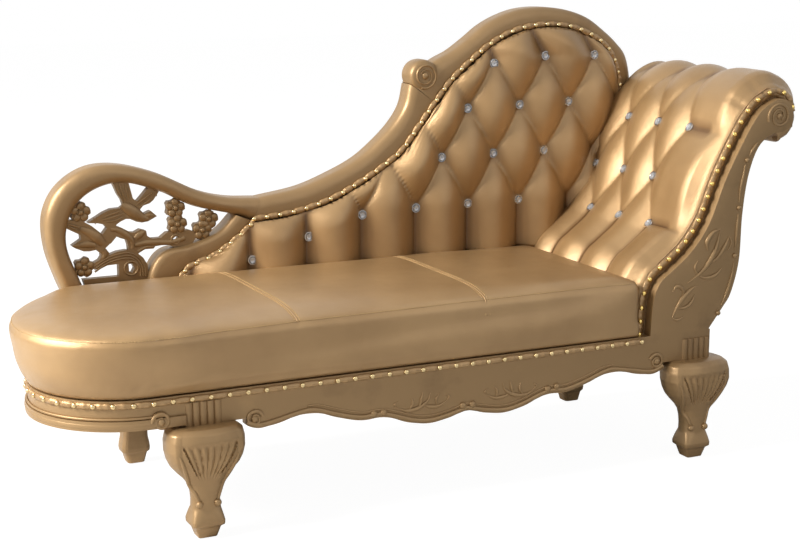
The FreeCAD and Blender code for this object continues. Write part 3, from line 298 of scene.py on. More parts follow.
def finish_piece(bm, name, finish, replaces=(), angle=None, outside=True):
    """Turns a bmesh into a piece that rides on the couch."""
    bmesh.ops.remove_doubles(bm, verts=bm.verts[:], dist=1e-5)
    if outside:
        bmesh.ops.recalc_face_normals(bm, faces=bm.faces[:])
    mesh = bpy.data.meshes.new(name)
    bm.to_mesh(mesh)
    bm.free()
    piece = bpy.data.objects.new(name, mesh)
    bpy.context.scene.collection.objects.link(piece)
    mesh.shade_smooth()
    if angle is not None:
        mesh.set_sharp_from_angle(angle=math.radians(angle))
    mesh.materials.append(materials[finish])
    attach(piece, "root")
    if replaces:
        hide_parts(*replaces)
    return piece


def thicken(piece, thickness):
    wall = piece.modifiers.new("Thickness", "SOLIDIFY")
    wall.thickness = thickness
    wall.offset = -1


def smooth(bm, verts, factor, axes=(True, True, True)):
    bmesh.ops.smooth_vert(
        bm, verts=verts, factor=factor, use_axis_x=axes[0], use_axis_y=axes[1], use_axis_z=axes[2])


def face_towards(bm, towards):
    """Turns an open sheet's faces to look a given way."""
    bm.normal_update()
    total = sum((face.normal.dot(towards) * face.calc_area() for face in bm.faces), 0.0)
    if total < 0:
        bmesh.ops.reverse_faces(bm, faces=bm.faces[:])


# Materials

WHITE = (1, 1, 1, 1)


def new_material(name):
    material = bpy.data.materials.new(name)
    material.use_nodes = True
    tree = material.node_tree
    shader = tree.nodes["Principled BSDF"]
    return material, tree, shader


def scaled(colour, share):
    """A colour with its brightness changed."""
    return tuple(min(1, part * share) for part in colour[:3]) + (1,)


def object_place(tree):
    """Object coordinates, from one node for all the patterns of a material."""
    place = tree.nodes.get("Place") or tree.nodes.new("ShaderNodeTexCoord")
    place.name = "Place"
    return place.outputs["Object"]


def object_noise(tree, scale, detail=4.0, roughness=0.55):
    noise = tree.nodes.new("ShaderNodeTexNoise")
    noise.inputs["Scale"].default_value = scale
    noise.inputs["Detail"].default_value = detail
    noise.inputs["Roughness"].default_value = roughness
    tree.links.new(object_place(tree), noise.inputs["Vector"])
    return noise


def ramp(tree, source, stops):
    made = tree.nodes.new("ShaderNodeValToRGB")
    made.color_ramp.elements[0].position, made.color_ramp.elements[0].color = stops[0]
    made.color_ramp.elements[1].position, made.color_ramp.elements[1].color = stops[-1]
    for position, colour in stops[1:-1]:
        extra = made.color_ramp.elements.new(position)
        extra.color = colour
    tree.links.new(source, made.inputs["Fac"])
    return made


def tint(tree, shader, source, stops):
    tree.links.new(ramp(tree, source, stops).outputs["Color"], shader.inputs["Base Color"])


def gloss(tree, shader, source, low, high, end=0.7):
    """Roughness that wanders between two values."""
    shades = ramp(tree, source, [(0.3, (low, low, low, 1)), (end, (high, high, high, 1))])
    tree.links.new(shades.outputs["Color"], shader.inputs["Roughness"])


def bump(tree, shader, source, distance, strength, before=None):
    made = tree.nodes.new("ShaderNodeBump")
    made.inputs["Strength"].default_value = strength
    made.inputs["Distance"].default_value = distance
    tree.links.new(source, made.inputs["Height"])
    if before:
        tree.links.new(before.outputs["Normal"], made.inputs["Normal"])
    tree.links.new(made.outputs["Normal"], shader.inputs["Normal"])
    return made


def gilt_wood(name="gilt_wood", painted_shade_scale=1.0):
    """Gold paint brushed over carved wood: a dark wash here and there, rubbed highlights."""
    values = settings()
    # below 1, this scale darkens every tone as painted shade, for the pierced panel set back behind
    # the crest
    light = scaled(values.gilt, painted_shade_scale)
    dark = scaled(values.gilt_dark, painted_shade_scale)
    rubbed = scaled(values.gilt, 1.25 * painted_shade_scale)
    material, tree, shader = new_material(name)
    clouds = object_noise(tree, 9, 5)
    tint(tree, shader, clouds.outputs["Fac"], [
        (0.2, dark), (0.42, light), (0.62, light), (0.8, rubbed)])
    patches = object_noise(tree, 26, 3)
    gloss(tree, shader, patches.outputs["Fac"], 0.34, 0.5, 0.75)
    brushed = object_noise(tree, 160, 6, 0.65)
    first = bump(tree, shader, brushed.outputs["Fac"], 0.0004, 0.6)
    dents = object_noise(tree, 30, 2)
    bump(tree, shader, dents.outputs["Fac"], 0.0012, 0.35, first)
    shader.inputs["Metallic"].default_value = 0.42
    shader.inputs["Specular IOR Level"].default_value = 0.5
    return material


def leatherette(name="leatherette", folds=True, tufted=False):
    """Champagne leatherette: a satin metallic skin with a fine pebbled grain; tufted, it gets
    painted shade in its creases and button pits.
    """
    values = settings()
    material, tree, shader = new_material(name)
    clouds = object_noise(tree, 5, 4)
    colour = ramp(tree, clouds.outputs["Fac"], [
        (0.3, tuple(values.leather_deep)), (0.65, tuple(values.leather))])
    if tufted:
        # painted shade: the colour is multiplied darker where the cover swells least, in its
        # creases and button pits
        crease_shade_mask = tree.nodes.new("ShaderNodeAttribute")
        crease_shade_mask.attribute_name = "crease_shade_mask"
        shade = ramp(tree, crease_shade_mask.outputs["Fac"], [
            (0.0, (0.30, 0.24, 0.20, 1)), (0.10, (0.62, 0.56, 0.50, 1)), (0.32, WHITE)])
        darker = tree.nodes.new("ShaderNodeMixRGB")
        darker.blend_type = "MULTIPLY"
        darker.inputs["Fac"].default_value = 1.0
        tree.links.new(colour.outputs["Color"], darker.inputs["Color1"])
        tree.links.new(shade.outputs["Color"], darker.inputs["Color2"])
        colour = darker
    tree.links.new(colour.outputs["Color"], shader.inputs["Base Color"])
    patches = object_noise(tree, 18, 3)
    gloss(tree, shader, patches.outputs["Fac"], 0.30, 0.40)
    grain = tree.nodes.new("ShaderNodeTexVoronoi")
    grain.feature = "DISTANCE_TO_EDGE"
    grain.inputs["Scale"].default_value = 620
    tree.links.new(object_place(tree), grain.inputs["Vector"])
    pebbles = ramp(tree, grain.outputs["Distance"], [(0.0, (0, 0, 0, 1)), (0.25, WHITE)])
    first = bump(tree, shader, pebbles.outputs["Color"], 0.00025, 0.5)
    if folds:
        creases = object_noise(tree, 38, 3, 0.5)
        creases.inputs["Distortion"].default_value = 0.6
        bump(tree, shader, creases.outputs["Fac"], 0.0016, 0.25, first)
    shader.inputs["Metallic"].default_value = 0.42
    shader.inputs["Coat Weight"].default_value = 0.2
    shader.inputs["Coat Roughness"].default_value = 0.3
    return material


def plain_metal(name, colour, roughness):
    material, tree, shader = new_material(name)
    patches = object_noise(tree, 300, 3).outputs["Fac"]
    tint(tree, shader, patches, [(0.35, scaled(colour, 0.8)), (0.65, scaled(colour, 1))])
    gloss(tree, shader, patches, roughness * 0.7, roughness * 1.3)
    shader.inputs["Metallic"].default_value = 1.0
    return material


def crystal_glass():
    material, tree, shader = new_material("crystal")
    sparkle = object_noise(tree, 200, 2)
    tint(tree, shader, sparkle.outputs["Fac"], [(0.3, (0.80, 0.86, 0.95, 1)), (0.7, WHITE)])
    shader.inputs["Roughness"].default_value = 0.05
    shader.inputs["Transmission Weight"].default_value = 0.75
    shader.inputs["IOR"].default_value = 1.6
    return material


def bare_timber():
    material, tree, shader = new_material("bare_wood")
    stretch = tree.nodes.new("ShaderNodeMapping")
    stretch.inputs["Scale"].default_value = (1.5, 14, 14)
    tree.links.new(object_place(tree), stretch.inputs["Vector"])
    grain = tree.nodes.new("ShaderNodeTexNoise")
    grain.inputs["Scale"].default_value = 9
    grain.inputs["Detail"].default_value = 6
    tree.links.new(stretch.outputs["Vector"], grain.inputs["Vector"])
    tint(tree, shader, grain.outputs["Fac"], [
        (0.35, (0.30, 0.18, 0.09, 1)), (0.65, (0.46, 0.31, 0.17, 1))])
    bump(tree, shader, grain.outputs["Fac"], 0.0006, 0.4)
    shader.inputs["Roughness"].default_value = 0.75
    return material


def woven(name, colour, scale):
    """Thin cloth or wadding, and the painted shadow of the seat's edge seam."""
    material, tree, shader = new_material(name)
    clouds = object_noise(tree, 30, 4)
    tint(tree, shader, clouds.outputs["Fac"], [
        (0.35, scaled(colour, 0.75)), (0.65, scaled(colour, 1))])
    waves = []
    for direction in ("X", "Y"):
        wave = tree.nodes.new("ShaderNodeTexWave")
        wave.bands_direction = direction
        wave.inputs["Scale"].default_value = scale
        wave.inputs["Distortion"].default_value = 0.4
        tree.links.new(object_place(tree), wave.inputs["Vector"])
        waves.append(wave)
    first = bump(tree, shader, waves[0].outputs["Fac"], 0.0003, 0.5)
    bump(tree, shader, waves[1].outputs["Fac"], 0.0003, 0.5, first)
    shader.inputs["Roughness"].default_value = 0.9
    return material


materials = {}


def make_materials():
    materials["gilt_wood"] = gilt_wood()
    # a darker copy of the gilding: painted shade on the pierced panel, which sits back behind the
    # crest
    materials["gilt_panel_shaded"] = gilt_wood("gilt_panel_shaded", 0.85)
    materials["leatherette"] = leatherette()
    # a copy of the leatherette with painted shade in its creases and button pits
    materials["leather_tufted_shaded"] = leatherette("leather_tufted_shaded", tufted=True)
    materials["leather_seat"] = leatherette("leather_seat", folds=False)
    materials["nail_metal"] = plain_metal("nail_metal", (0.72, 0.56, 0.30), 0.22)
    materials["nail_bright"] = plain_metal("nail_bright", (0.90, 0.66, 0.22), 0.2)
    materials["button_metal"] = plain_metal("button_metal", (0.62, 0.63, 0.65), 0.18)
    materials["crystal"] = crystal_glass()
    materials["bare_wood"] = bare_timber()
    materials["steel"] = plain_metal("steel", (0.42, 0.42, 0.44), 0.35)
    materials["padding"] = woven("padding", (0.72, 0.66, 0.52), 400)
    materials["lining"] = woven("lining", (0.035, 0.03, 0.03), 500)
    # painted shadow for the seat's edge seam, in a dark leather tone
    materials["seam_shadow"] = woven("seam_shadow", (0.14, 0.085, 0.035), 900)
    materials["thread"] = woven("thread", (0.62, 0.42, 0.20), 900)


# Show wood of the back


def crest_rings(outer, inner, outer_round, inner_round, deep=0.018):
    """Cross sections of a length of crest between its two edges, rounded towards the front."""
    rings = []
    for top, low in zip(outer, inner):
        width = (low - top).length
        across = (low - top).normalized()
        first = min(outer_round, width * 0.48)
        last = min(inner_round, width * 0.48)
        profile = [(0.003, Y_BACK), (0, Y_BACK - 0.003)]
        for step in range(7):
            angle = math.pi / 2 * step / 6
            profile.append((first * (1 - math.cos(angle)), Y_CREST + deep * (1 - math.sin(angle))))
        for step in range(7):
            angle = math.pi / 2 * step / 6
            profile.append((
                width - last * (1 - math.sin(angle)),
                Y_CREST + min(deep, last) * (1 - math.cos(angle))))
        profile += [(width, Y_BACK - 0.003), (width - 0.003, Y_BACK)]
        ring = []
        for distance, y in profile:
            point = top + across * distance
            ring.append(Vector((point.x, y, point.y)))
        rings.append(ring)
    return rings


def make_crest():
    seam = curve(at(BACK_SEAM), 160)
    seam_edge = shifted(seam, -0.006)
    split = at(BACK_SEAM)[SEAM_SPLIT]
    cut = min(range(len(seam)), key=lambda index: (seam[index] - split).length)
    lengths = [
        ("crest_loop_carved", "crest_foot_loop", crest_rings(
            curve(at(LOOP_OUTER), 110), curve(at(LOOP_INNER), 110), 0.022, 0.020)),
        ("crest_sweep_carved", "crest_sweep", crest_rings(
            curve(at(SWEEP_OUTER), 70), resample(seam_edge[:cut + 1], 70), 0.026, 0.004)),
        ("crest_hump_carved", "crest_hump", crest_rings(
            curve(at(HUMP_OUTER), 110), resample(seam_edge[cut:], 110), 0.028, 0.004)),
        ("arc_rail_carved", "arc_rail", crest_rings(
            curve(at(ARC_UPPER), 70), curve(at(ARC_LOWER), 70), 0.016, 0.010, 0.014)),
    ]
    for name, node, rings in lengths:
        finish_piece(lofted(rings), name, "gilt_wood", [node], 50)


def spiral(centre, start, end, turns, y, angle, hand=1, count=60):
    """A flat spiral path on a front face, from its outer end inwards."""
    path = []
    for index in range(count):
        share = index / (count - 1)
        radius = start + (end - start) * share
        turn = angle + hand * share * turns * 2 * math.pi
        path.append(Vector((
            centre.x + radius * math.cos(turn), y, centre.y + radius * math.sin(turn))))
    return path


def round_ridge(bm, centre, radius, y, width, sides, count):
    """A ring of a thin rod on a front face."""
    tube(spiral(centre, radius, radius, 1, y, 0, 1, count), width, sides, bm)


def scroll_end(bm, centre, radius, front, angle, hand):
    """A carved scroll that winds in to a boss, at the end of a moulding."""
    path = spiral(centre, radius, 0.007, 1.3, front, angle, hand, 40)
    tube(path, [0.0045 - 0.0015 * index / 40 for index in range(40)], 9, bm)
    boss(bm, centre, front, 0.008, 0.007)


def widths_along(widths, count):
    """A width at each of a count of points, between a few given ones."""
    result = []
    for index in range(count):
        place = index / (count - 1) * (len(widths) - 1)
        low = min(int(place), len(widths) - 2)
        result.append(widths[low] + (widths[low + 1] - widths[low]) * (place - low))
    return result


def ribbon(bm, points, widths, y, flat=0.55, count=26, sides=8):
    """A carved leaf or rib: a smooth run that swells and tapers, with widths in millimetres."""
    path = raised(curve(at(points), count), y)
    spread = [width / 1000 for width in widths_along(widths, count)]
    tube(path, spread, sides, bm, flat)


def rosette(bm, centre, radius, front, angle):
    """The eye of a scroll: a spiral ridge that winds in to a domed boss."""
    path = spiral(centre, radius * 0.88, radius * 0.36, 1.75, front, angle)
    widths = [radius * (0.10 - 0.03 * index / len(path)) for index in range(len(path))]
    tube(path, widths, 8, bm)
    boss(bm, centre, front, radius * 0.27, radius * 0.16)


def make_volute():
    """The scroll ear where the sweep meets the hump."""
    centre = at([EAR_CENTRE])[0]
    front = Y_CREST - 0.002
    bm = bmesh.new()
    rings = []
    for radius, y in (
        (0.030, Y_BACK), (0.036, Y_BACK - 0.003), (0.0375, Y_BACK - 0.012),
        (0.0375, Y_CREST + 0.012), (0.0355, Y_CREST + 0.003), (0.031, Y_CREST - 0.001),
        (0.024, front), (0.012, front),
    ):
        ring = []
        for side in range(40):
            angle = -2 * math.pi * side / 40
            ring.append(Vector((
                centre.x + radius * math.cos(angle), y, centre.y + radius * math.sin(angle))))
        rings.append(ring)
    lofted(rings, bm)
    rosette(bm, centre, 0.034, front, math.radians(250))
    finish_piece(bm, "crest_ear_carved", "gilt_wood", ["crest_volute"], 45)


# Pierced panel

FLOWERS = [(-96, 588), (-92, 465), (120, 582), (124, 545), (198, 551), (182, 527)]
FRET_FRONT = 0.263
FEATHERS = [
    [(-58, 566), (-30, 571), (-2, 578), (10, 585)], [(-50, 573), (-26, 579), (0, 587)],
    [(-40, 563), (-20, 564), (2, 572)],
    [(30, 596), (45, 606), (62, 618), (72, 628)], [(38, 590), (52, 599), (68, 610)],
    [(-8, 648), (0, 625), (8, 606)], [(4, 650), (10, 626), (14, 606)],
    [(-16, 646), (-7, 624), (2, 604)],
    [(-132, 566), (-112, 560), (-92, 550)], [(-128, 561), (-112, 553), (-98, 545)],
]
BARBS = [((-66, 567), (4, 588), 11), ((36, 598), (80, 622), 8)]
BODIES = [
    ([(-4, 598), (10, 590), (26, 578), (44, 566), (56, 562)], [0.007, 0.013, 0.014, 0.010, 0.006]),
    ([(44, 566), (60, 570), (75, 567)], [0.006, 0.006, 0.0015]),
    ([(-98, 552), (-78, 542), (-60, 528), (-48, 514)], [0.006, 0.010, 0.013, 0.008]),
    ([(-66, 512), (-84, 516), (-102, 515), (-116, 515)], [0.006, 0.009, 0.006, 0.0015]),
    ([(-46, 500), (-44, 490), (-50, 481)], [0.006, 0.006, 0.004]),
    ([(-30, 545), (-14, 542), (4, 531), (18, 516), (20, 498)], [0.004, 0.006, 0.007, 0.006, 0.004]),
    ([(24, 505), (50, 508), (80, 507), (110, 505), (140, 512)],
     [0.005, 0.007, 0.006, 0.006, 0.006]),
    ([(26, 520), (40, 530), (47, 534)], [0.006, 0.008, 0.004]),
    ([(30, 490), (50, 499), (66, 498)], [0.004, 0.004, 0.002]),
]
EYES = [(58, 573), (-101, 519)]
RING_EYE = (14, 454)
RING_HOLE = (119, 511)


def carve_blossoms(bm):
    for flower in at(FLOWERS):
        for petal in range(5):
            angle = math.radians(90 + 72 * petal)
            middle = flower + Vector((math.cos(angle), math.sin(angle))) * 0.0135
            boss(bm, middle, FRET_FRONT, 0.0095, 0.0045, 12, 6)
        boss(bm, flower, FRET_FRONT - 0.003, 0.0065, 0.004, 12, 6)
        round_ridge(bm, flower, 0.0075, FRET_FRONT - 0.004, 0.0012, 6, 18)


def carve_birds(bm):
    """Feathers, the short barbs on the wings, bodies, stems and eyes."""
    for feather in FEATHERS:
        path = raised(curve(at(feather), 14), FRET_FRONT)
        widths = [0.0028 * math.sin(math.pi * (0.12 + 0.8 * index / 13)) for index in range(14)]
        tube(path, widths, 6, bm)
    for start, end, count in BARBS:
        first, last = at([start, end])
        ahead = (last - first).normalized()
        side = Vector((-ahead.y, ahead.x)) * 0.008
        lean = ahead * 0.004
        for index in range(count):
            middle = first.lerp(last, (index + 0.5) / count)
            barb = raised([middle - side - lean, middle, middle + side - lean], FRET_FRONT)
            tube(barb, [0.0009, 0.0016, 0.0009], 5, bm)
    for points, widths in BODIES:
        path = raised(curve(at(points), 18), FRET_FRONT)
        tube(path, widths_along(widths, 18), 10, bm, 0.45)
    for eye in at(EYES):
        boss(bm, eye, FRET_FRONT - 0.003, 0.0018, 0.0015, 8, 5)


def carve_scroll(bm):
    """Three ridges along the scroll, and a ring round each of the two holes."""
    for inset in (3, 9, 15):
        scroll = [
            (-72 + inset * 0.2, 468 - inset), (-46, 482 - inset), (-30, 488 - inset),
            (-8, 492 - inset), (10, 492 - inset), (28 - inset * 0.5, 484 - inset * 0.8),
            (41 - inset * 0.8, 470 - inset * 0.4), (49 - inset, 452), (50 - inset, 434)]
        tube(raised(curve(at(scroll), 40), FRET_FRONT), 0.0024, 7, bm, 0.8)
    eye, hole = at([RING_EYE, RING_HOLE])
    round_ridge(bm, eye, 0.0155, FRET_FRONT, 0.0026, 7, 26)
    round_ridge(bm, hole, 0.0105, FRET_FRONT, 0.0024, 7, 22)


def make_fretwork_carving():
    """Relief on the front of the pierced panel."""
    bm = bmesh.new()
    carve_blossoms(bm)
    carve_birds(bm)
    carve_scroll(bm)
    finish_piece(bm, "fretwork_carving", "gilt_panel_shaded", (), 60)


# Head arm


FACING_THICKNESS = 0.026


def make_facing():
    """The scroll board on the front of the arm, its front edges rounded."""
    outline = curve(at(FACING_INNER), 90) + curve(at(FACING_OUTER), 60)[1:]
    bm = bmesh.new()
    front = [bm.verts.new((point.x, Y_FRONT, point.y)) for point in outline]
    face = bm.faces.new(front)
    bmesh.ops.recalc_face_normals(bm, faces=[face])
    if face.normal.y > 0:
        face.normal_flip()
    made = bmesh.ops.extrude_face_region(bm, geom=[face])
    moved = [item for item in made["geom"] if isinstance(item, bmesh.types.BMVert)]
    bmesh.ops.translate(bm, verts=moved, vec=(0, FACING_THICKNESS, 0))
    bmesh.ops.recalc_face_normals(bm, faces=bm.faces[:])
    edges = [edge for edge in bm.edges if all(
        abs(vert.co.y - Y_FRONT) < 1e-6 and vert.co.z > Z_FRAME + 0.0015 for vert in edge.verts)]
    bmesh.ops.bevel(
        bm, geom=edges, offset=0.008, offset_type="OFFSET", segments=4, profile=0.5,
        affect="EDGES", material=-1, clamp_overlap=True)
    finish_piece(bm, "arm_facing_board", "gilt_wood", ["arm_facing_front"], 35)


FACING_RODS = [
    [(1298, 674), (1294, 650), (1288, 620), (1285, 588)],
    [(1284, 562), (1282, 530), (1281, 500), (1278, 478)],
    [(1277, 452), (1273, 420), (1262, 385), (1246, 352)], [(1330, 722), (1316, 705), (1309, 693)],
]
FACING_BEADS = [(1302, 683), (1285, 575), (1278, 465), (1238, 335)]
FACING_LEAVES = [
    ([(1150, 412), (1178, 428), (1205, 452), (1226, 488), (1236, 530)], [1, 3.5, 5, 4, 1]),
    ([(1236, 530), (1214, 522), (1200, 502), (1204, 484)], [1, 4, 5, 2]),
    ([(1205, 452), (1228, 462), (1248, 486), (1262, 512)], [1, 3.5, 4.5, 1]),
    ([(1178, 428), (1200, 420), (1226, 424), (1244, 440)], [1, 3.5, 4, 1]),
    ([(1262, 512), (1268, 494), (1258, 478)], [1, 3, 1]),
    ([(1112, 336), (1124, 358), (1142, 382), (1166, 400), (1180, 404)], [1, 3.5, 5, 4, 1]),
    ([(1124, 358), (1144, 356), (1162, 366), (1172, 384)], [1, 3.5, 4, 1]),
    ([(1142, 382), (1138, 400), (1122, 408), (1112, 396)], [1, 3.5, 3.5, 1]),
    ([(1112, 336), (1126, 330), (1142, 336)], [1, 3, 1]),
    ([(1178, 428), (1170, 446), (1178, 464)], [1, 3, 1]),
]


def make_facing_carving():
    """Scroll, rods with beads and leaf scrolls on the arm's facing."""
    bm = bmesh.new()
    centre = at([ROLL_CENTRE])[0]
    path = spiral(centre, 0.031, 0.010, 1.7, Y_FRONT, math.radians(200), -1, 70)
    tube(path, [0.0042 - 0.0012 * index / 70 for index in range(70)], 9, bm, 0.9)
    boss(bm, centre, Y_FRONT, 0.008, 0.005)
    for rod in FACING_RODS:
        ribbon(bm, rod, [1.5, 4.2, 4.2, 1.5], Y_FRONT, 0.9)
    for bead in at(FACING_BEADS):
        boss(bm, bead, Y_FRONT, 0.0062, 0.006, 14, 8)
    for points, widths in FACING_LEAVES:
        ribbon(bm, points, [width * 1.35 for width in widths], Y_FRONT, 0.8)
    finish_piece(bm, "arm_facing_carving", "gilt_wood", (), 60)


# The arm's leather, by its depth and by its length along the nailed edge
ARM_ROW = 0.251
ARM_LAST = -0.097
ARM_PITCH = 0.125
ARM_BUTTONS = (
    (0.251, (0.153, 0.028, -0.097)), (0.376, (0.216, 0.091, -0.034)),
    (0.501, (0.153, 0.028, -0.097)),
)
ARM_REACH = 0.034
ARM_RIM = [
    (0.003, -0.2262), (0.010, -0.2275), (0.018, -0.2272), (0.025, -0.2235), (0.0305, -0.216),
    (0.0335, -0.206),
]
ARM_FLAT = (-0.196, 0.243)
ARM_REAR_TURN = [(0.2449, 0.030), (0.2449, 0.002)]
ARM_NAILS = -0.224
ARM_REAR = 0.252
ROLL_START = 0.42
GATHER_START = 0.54
FLAT_TO_TUFT = 0.055


def folds(s, t):
    """Swell between crossing pleats: none at a button, little along a pleat, most between."""
    return 0.62 * math.sqrt(s * t) + 0.38 * math.sqrt((s * s + t * t) / 2)


def arm_swell(y, along):
    """Swell of the arm: diamonds between the buttons, upright pleats below, level ones in front."""
    if y < ARM_LAST and along < ARM_ROW:
        s = math.sin(math.pi / 2 * min(1, (ARM_LAST - y) / FLAT_TO_TUFT))
        t = math.sin(math.pi / 2 * min(1, (ARM_ROW - along) / FLAT_TO_TUFT))
        return math.sqrt(s * t)
    u = max(y, ARM_LAST) - ARM_LAST
    v = max(along, ARM_ROW) - ARM_ROW
    s = abs(math.sin(math.pi * (u / ARM_PITCH + v / (2 * ARM_PITCH))))
    t = abs(math.sin(math.pi * (u / ARM_PITCH - v / (2 * ARM_PITCH))))
    return folds(s, t)


def arm_frame_of(count):
    """Points, outward directions and lengths along the arm's nailed edge."""
    points = curve(at(FACING_INNER), count)
    outward = [Vector((-ahead.y, ahead.x)) for ahead in headings(points)]
    total = run_length(points)
    return points, outward, total


def arm_puff(swell, y, along, total):
    """Height of the arm's leather over its padding: tufts, a plump roll, gathers at the nails."""
    roll = clamp((along - ROLL_START) / 0.12)
    plump = clamp((y + 0.19) / 0.08)
    swell = swell + 0.45 * roll * (1 - swell) * plump + 0.22 * roll * swell
    rear = clamp((ARM_REAR - y) / (0.05 if along < ROLL_START else 0.012))
    fade = clamp((y - ARM_NAILS) / 0.045) * rear * min(1, (total - along) / 0.07)
    height = settings().arm_swell * swell * fade ** 0.6
    if along > GATHER_START:
        near = max(0, 1 - (y - ARM_NAILS) / 0.075)
        pinch = math.sin(math.pi * (along - 0.575) / 0.042) / 0.35
        height -= 0.004 * near * math.exp(-pinch ** 2) * min(1, (along - GATHER_START) / 0.03)
    return height


def make_arm_cover():
    """Tufted leather from the nailed front edge over the arm, its rear and top ends turned in."""
    rows = 150
    end_turn = 6
    steps = 74
    points, outward, total = arm_frame_of(rows + 1)
    columns = len(ARM_RIM) + steps + len(ARM_REAR_TURN)
    ahead = headings(points)[-1]

    def place(u, v):
        column = round(u * columns) - len(ARM_RIM)
        row = round(v * (rows + end_turn))
        past = max(0, row - rows)
        row = min(row, rows)
        along = total * row / rows
        swell = 0.0
        if column < 0:
            reach, y = ARM_RIM[column]
        elif column > steps:
            y, reach = ARM_REAR_TURN[column - steps - 1]
        else:
            y = ARM_FLAT[0] + (ARM_FLAT[1] - ARM_FLAT[0]) * column / steps
            reach = ARM_REACH
            swell = arm_swell(y, along)
        reach += arm_puff(swell, y, along, total)
        reach = reach * (1 - past / end_turn) + 0.001 * past / end_turn
        point = points[row] + outward[row] * reach + ahead * 0.003 * min(1, past)
        return Vector((point.x, y, point.y))

    bm = cloth_grid(columns, rows + end_turn, place)
    smooth(bm, [vert for vert in bm.verts if not vert.is_boundary], 0.3)
    for vert in bm.verts:
        vert.co.z = max(vert.co.z, Z_FRAME + 0.002)
    face_towards(bm, Vector((-1, 0, 1)))
    mark_folds(bm, lambda point: arm_folds(point, points, outward, total))
    cover = finish_piece(
        bm, "arm_leather", "leather_tufted_shaded", ["arm_cover", "arm_foam"], outside=False)
    thicken(cover, 0.005)


def arm_folds(point, points, outward, total):
    """Swell at a point of the arm's leather, from its nearest place along the arm."""
    flat = Vector((point.x, point.z))
    row = min(range(len(points)), key=lambda index: (
        points[index] + outward[index] * ARM_REACH - flat).length_squared)
    swell = arm_swell(point.y, total * row / (len(points) - 1))
    flat_share = clamp(max((-0.165 - point.y) / 0.045, (point.y - 0.236) / 0.004))
    return swell + (1 - swell) * flat_share


def mark_folds(bm, measure):
    """Keeps, on each point, how far the cover swells there, as the mask of the painted shade in its
    creases and button pits.
    """
    layer = bm.verts.layers.float.new("crease_shade_mask")
    for vert in bm.verts:
        vert[layer] = measure(vert.co)


def make_outer_sheet():
    """Stretched leatherette down the outer side of the arm."""
    rows = 70
    deep = 0.467
    points = curve(at(FACING_OUTER), rows + 1)
    ahead = headings(points)

    def place(u, v):
        row = round(v * rows)
        across = Vector((-ahead[row].y, ahead[row].x))
        crown = 0.002 * math.sin(math.pi * u) ** 0.5 if 0 < u < 1 else 0
        point = points[row] + across * (0.0004 + crown)
        return Vector((point.x, -0.223 + deep * u, max(point.y, Z_FRAME + 0.001)))

    bm = cloth_grid(24, rows, place)
    face_towards(bm, Vector((1, 0, -0.3)))
    sheet = finish_piece(
        bm, "arm_outer_sheet", "leatherette", ["arm_outside_cover"], outside=False)
    thicken(sheet, 0.002)


# Tufted back


def back_edge():
    """The nailed edge of the back, from the seat at the foot end round to the arm."""
    arc = [point for point in curve(at(ARC_LOWER[:-1]), 60) if point.y > 0.425]
    seam = shifted(curve(at(BACK_SEAM), 150), -0.007)
    return arc + seam


def height_over(points, x):
    """Height of a run of points over a place along the couch."""
    for before, after in zip(points, points[1:]):
        if before.x <= x <= after.x and after.x > before.x:
            return before.y + (after.y - before.y) * (x - before.x) / (after.x - before.x)
    return points[0].y if x < points[0].x else points[-1].y


BACK_PITCH = 0.140
BACK_RISE = 0.232
LOW_ROW = (0.846, 0.545)
TOP_ROW = 0.348
TOP_LEAN = 0.55
SEAT_LINE = 0.428


def back_swell(x, z):
    """Swell of the back: diamonds, upright pleats below them and leaning pleats above them."""
    u = x - LOW_ROW[0] - LEG_X
    v = max(0, z - LOW_ROW[1])
    if v > TOP_ROW:
        u += (v - TOP_ROW) * TOP_LEAN
        v = TOP_ROW
    s = abs(math.sin(math.pi * (u / BACK_PITCH + v / BACK_RISE)))
    t = abs(math.sin(math.pi * (u / BACK_PITCH - v / BACK_RISE)))
    return folds(s, t)


def make_back_cover():
    """Tufted leather of the back, from its nailed edge down behind the seat and the arm."""
    swell = settings().back_swell
    edge = back_edge()
    arm_points, arm_out, _ = arm_frame_of(160)
    arm_edge = [point + out * 0.030 for point, out in zip(arm_points, arm_out)]
    left = edge[0].x + 0.002
    right = 1.2815 + LEG_X

    def place(u, v):
        x = left + (right - left) * u
        top = height_over(edge, x)
        low = SEAT_LINE
        if x > arm_edge[0].x:
            low = max(low, height_over(arm_edge, x))
        low = min(low, top - 0.002)
        z = low + (top - low) * v
        distance = min((point - Vector((x, z))).length for point in edge)
        share = min(1, distance / 0.05)
        fade = math.sqrt(max(0, 1 - (1 - share) ** 2))
        y = 0.2435 - 0.004 * fade - swell * back_swell(x, z) * fade
        return Vector((x, y, z))

    bm = cloth_grid(226, 96, place)
    inside = [vert for vert in bm.verts if not vert.is_boundary]
    smooth(bm, inside, 0.35, (False, True, False))
    face_towards(bm, TO_FRONT)
    mark_folds(bm, lambda point: back_swell(point.x, point.z))
    cover = finish_piece(
        bm, "back_leather", "leather_tufted_shaded", ["back_cover", "back_foam"], outside=False)
    thicken(cover, 0.005)


# Seat

OVERHANG = [
    (-0.104, 0.038), (-0.05, 0.039), (0.009, 0.028), (0.2, 0.0155), (0.6, 0.006), (1.03, 0.0),
]
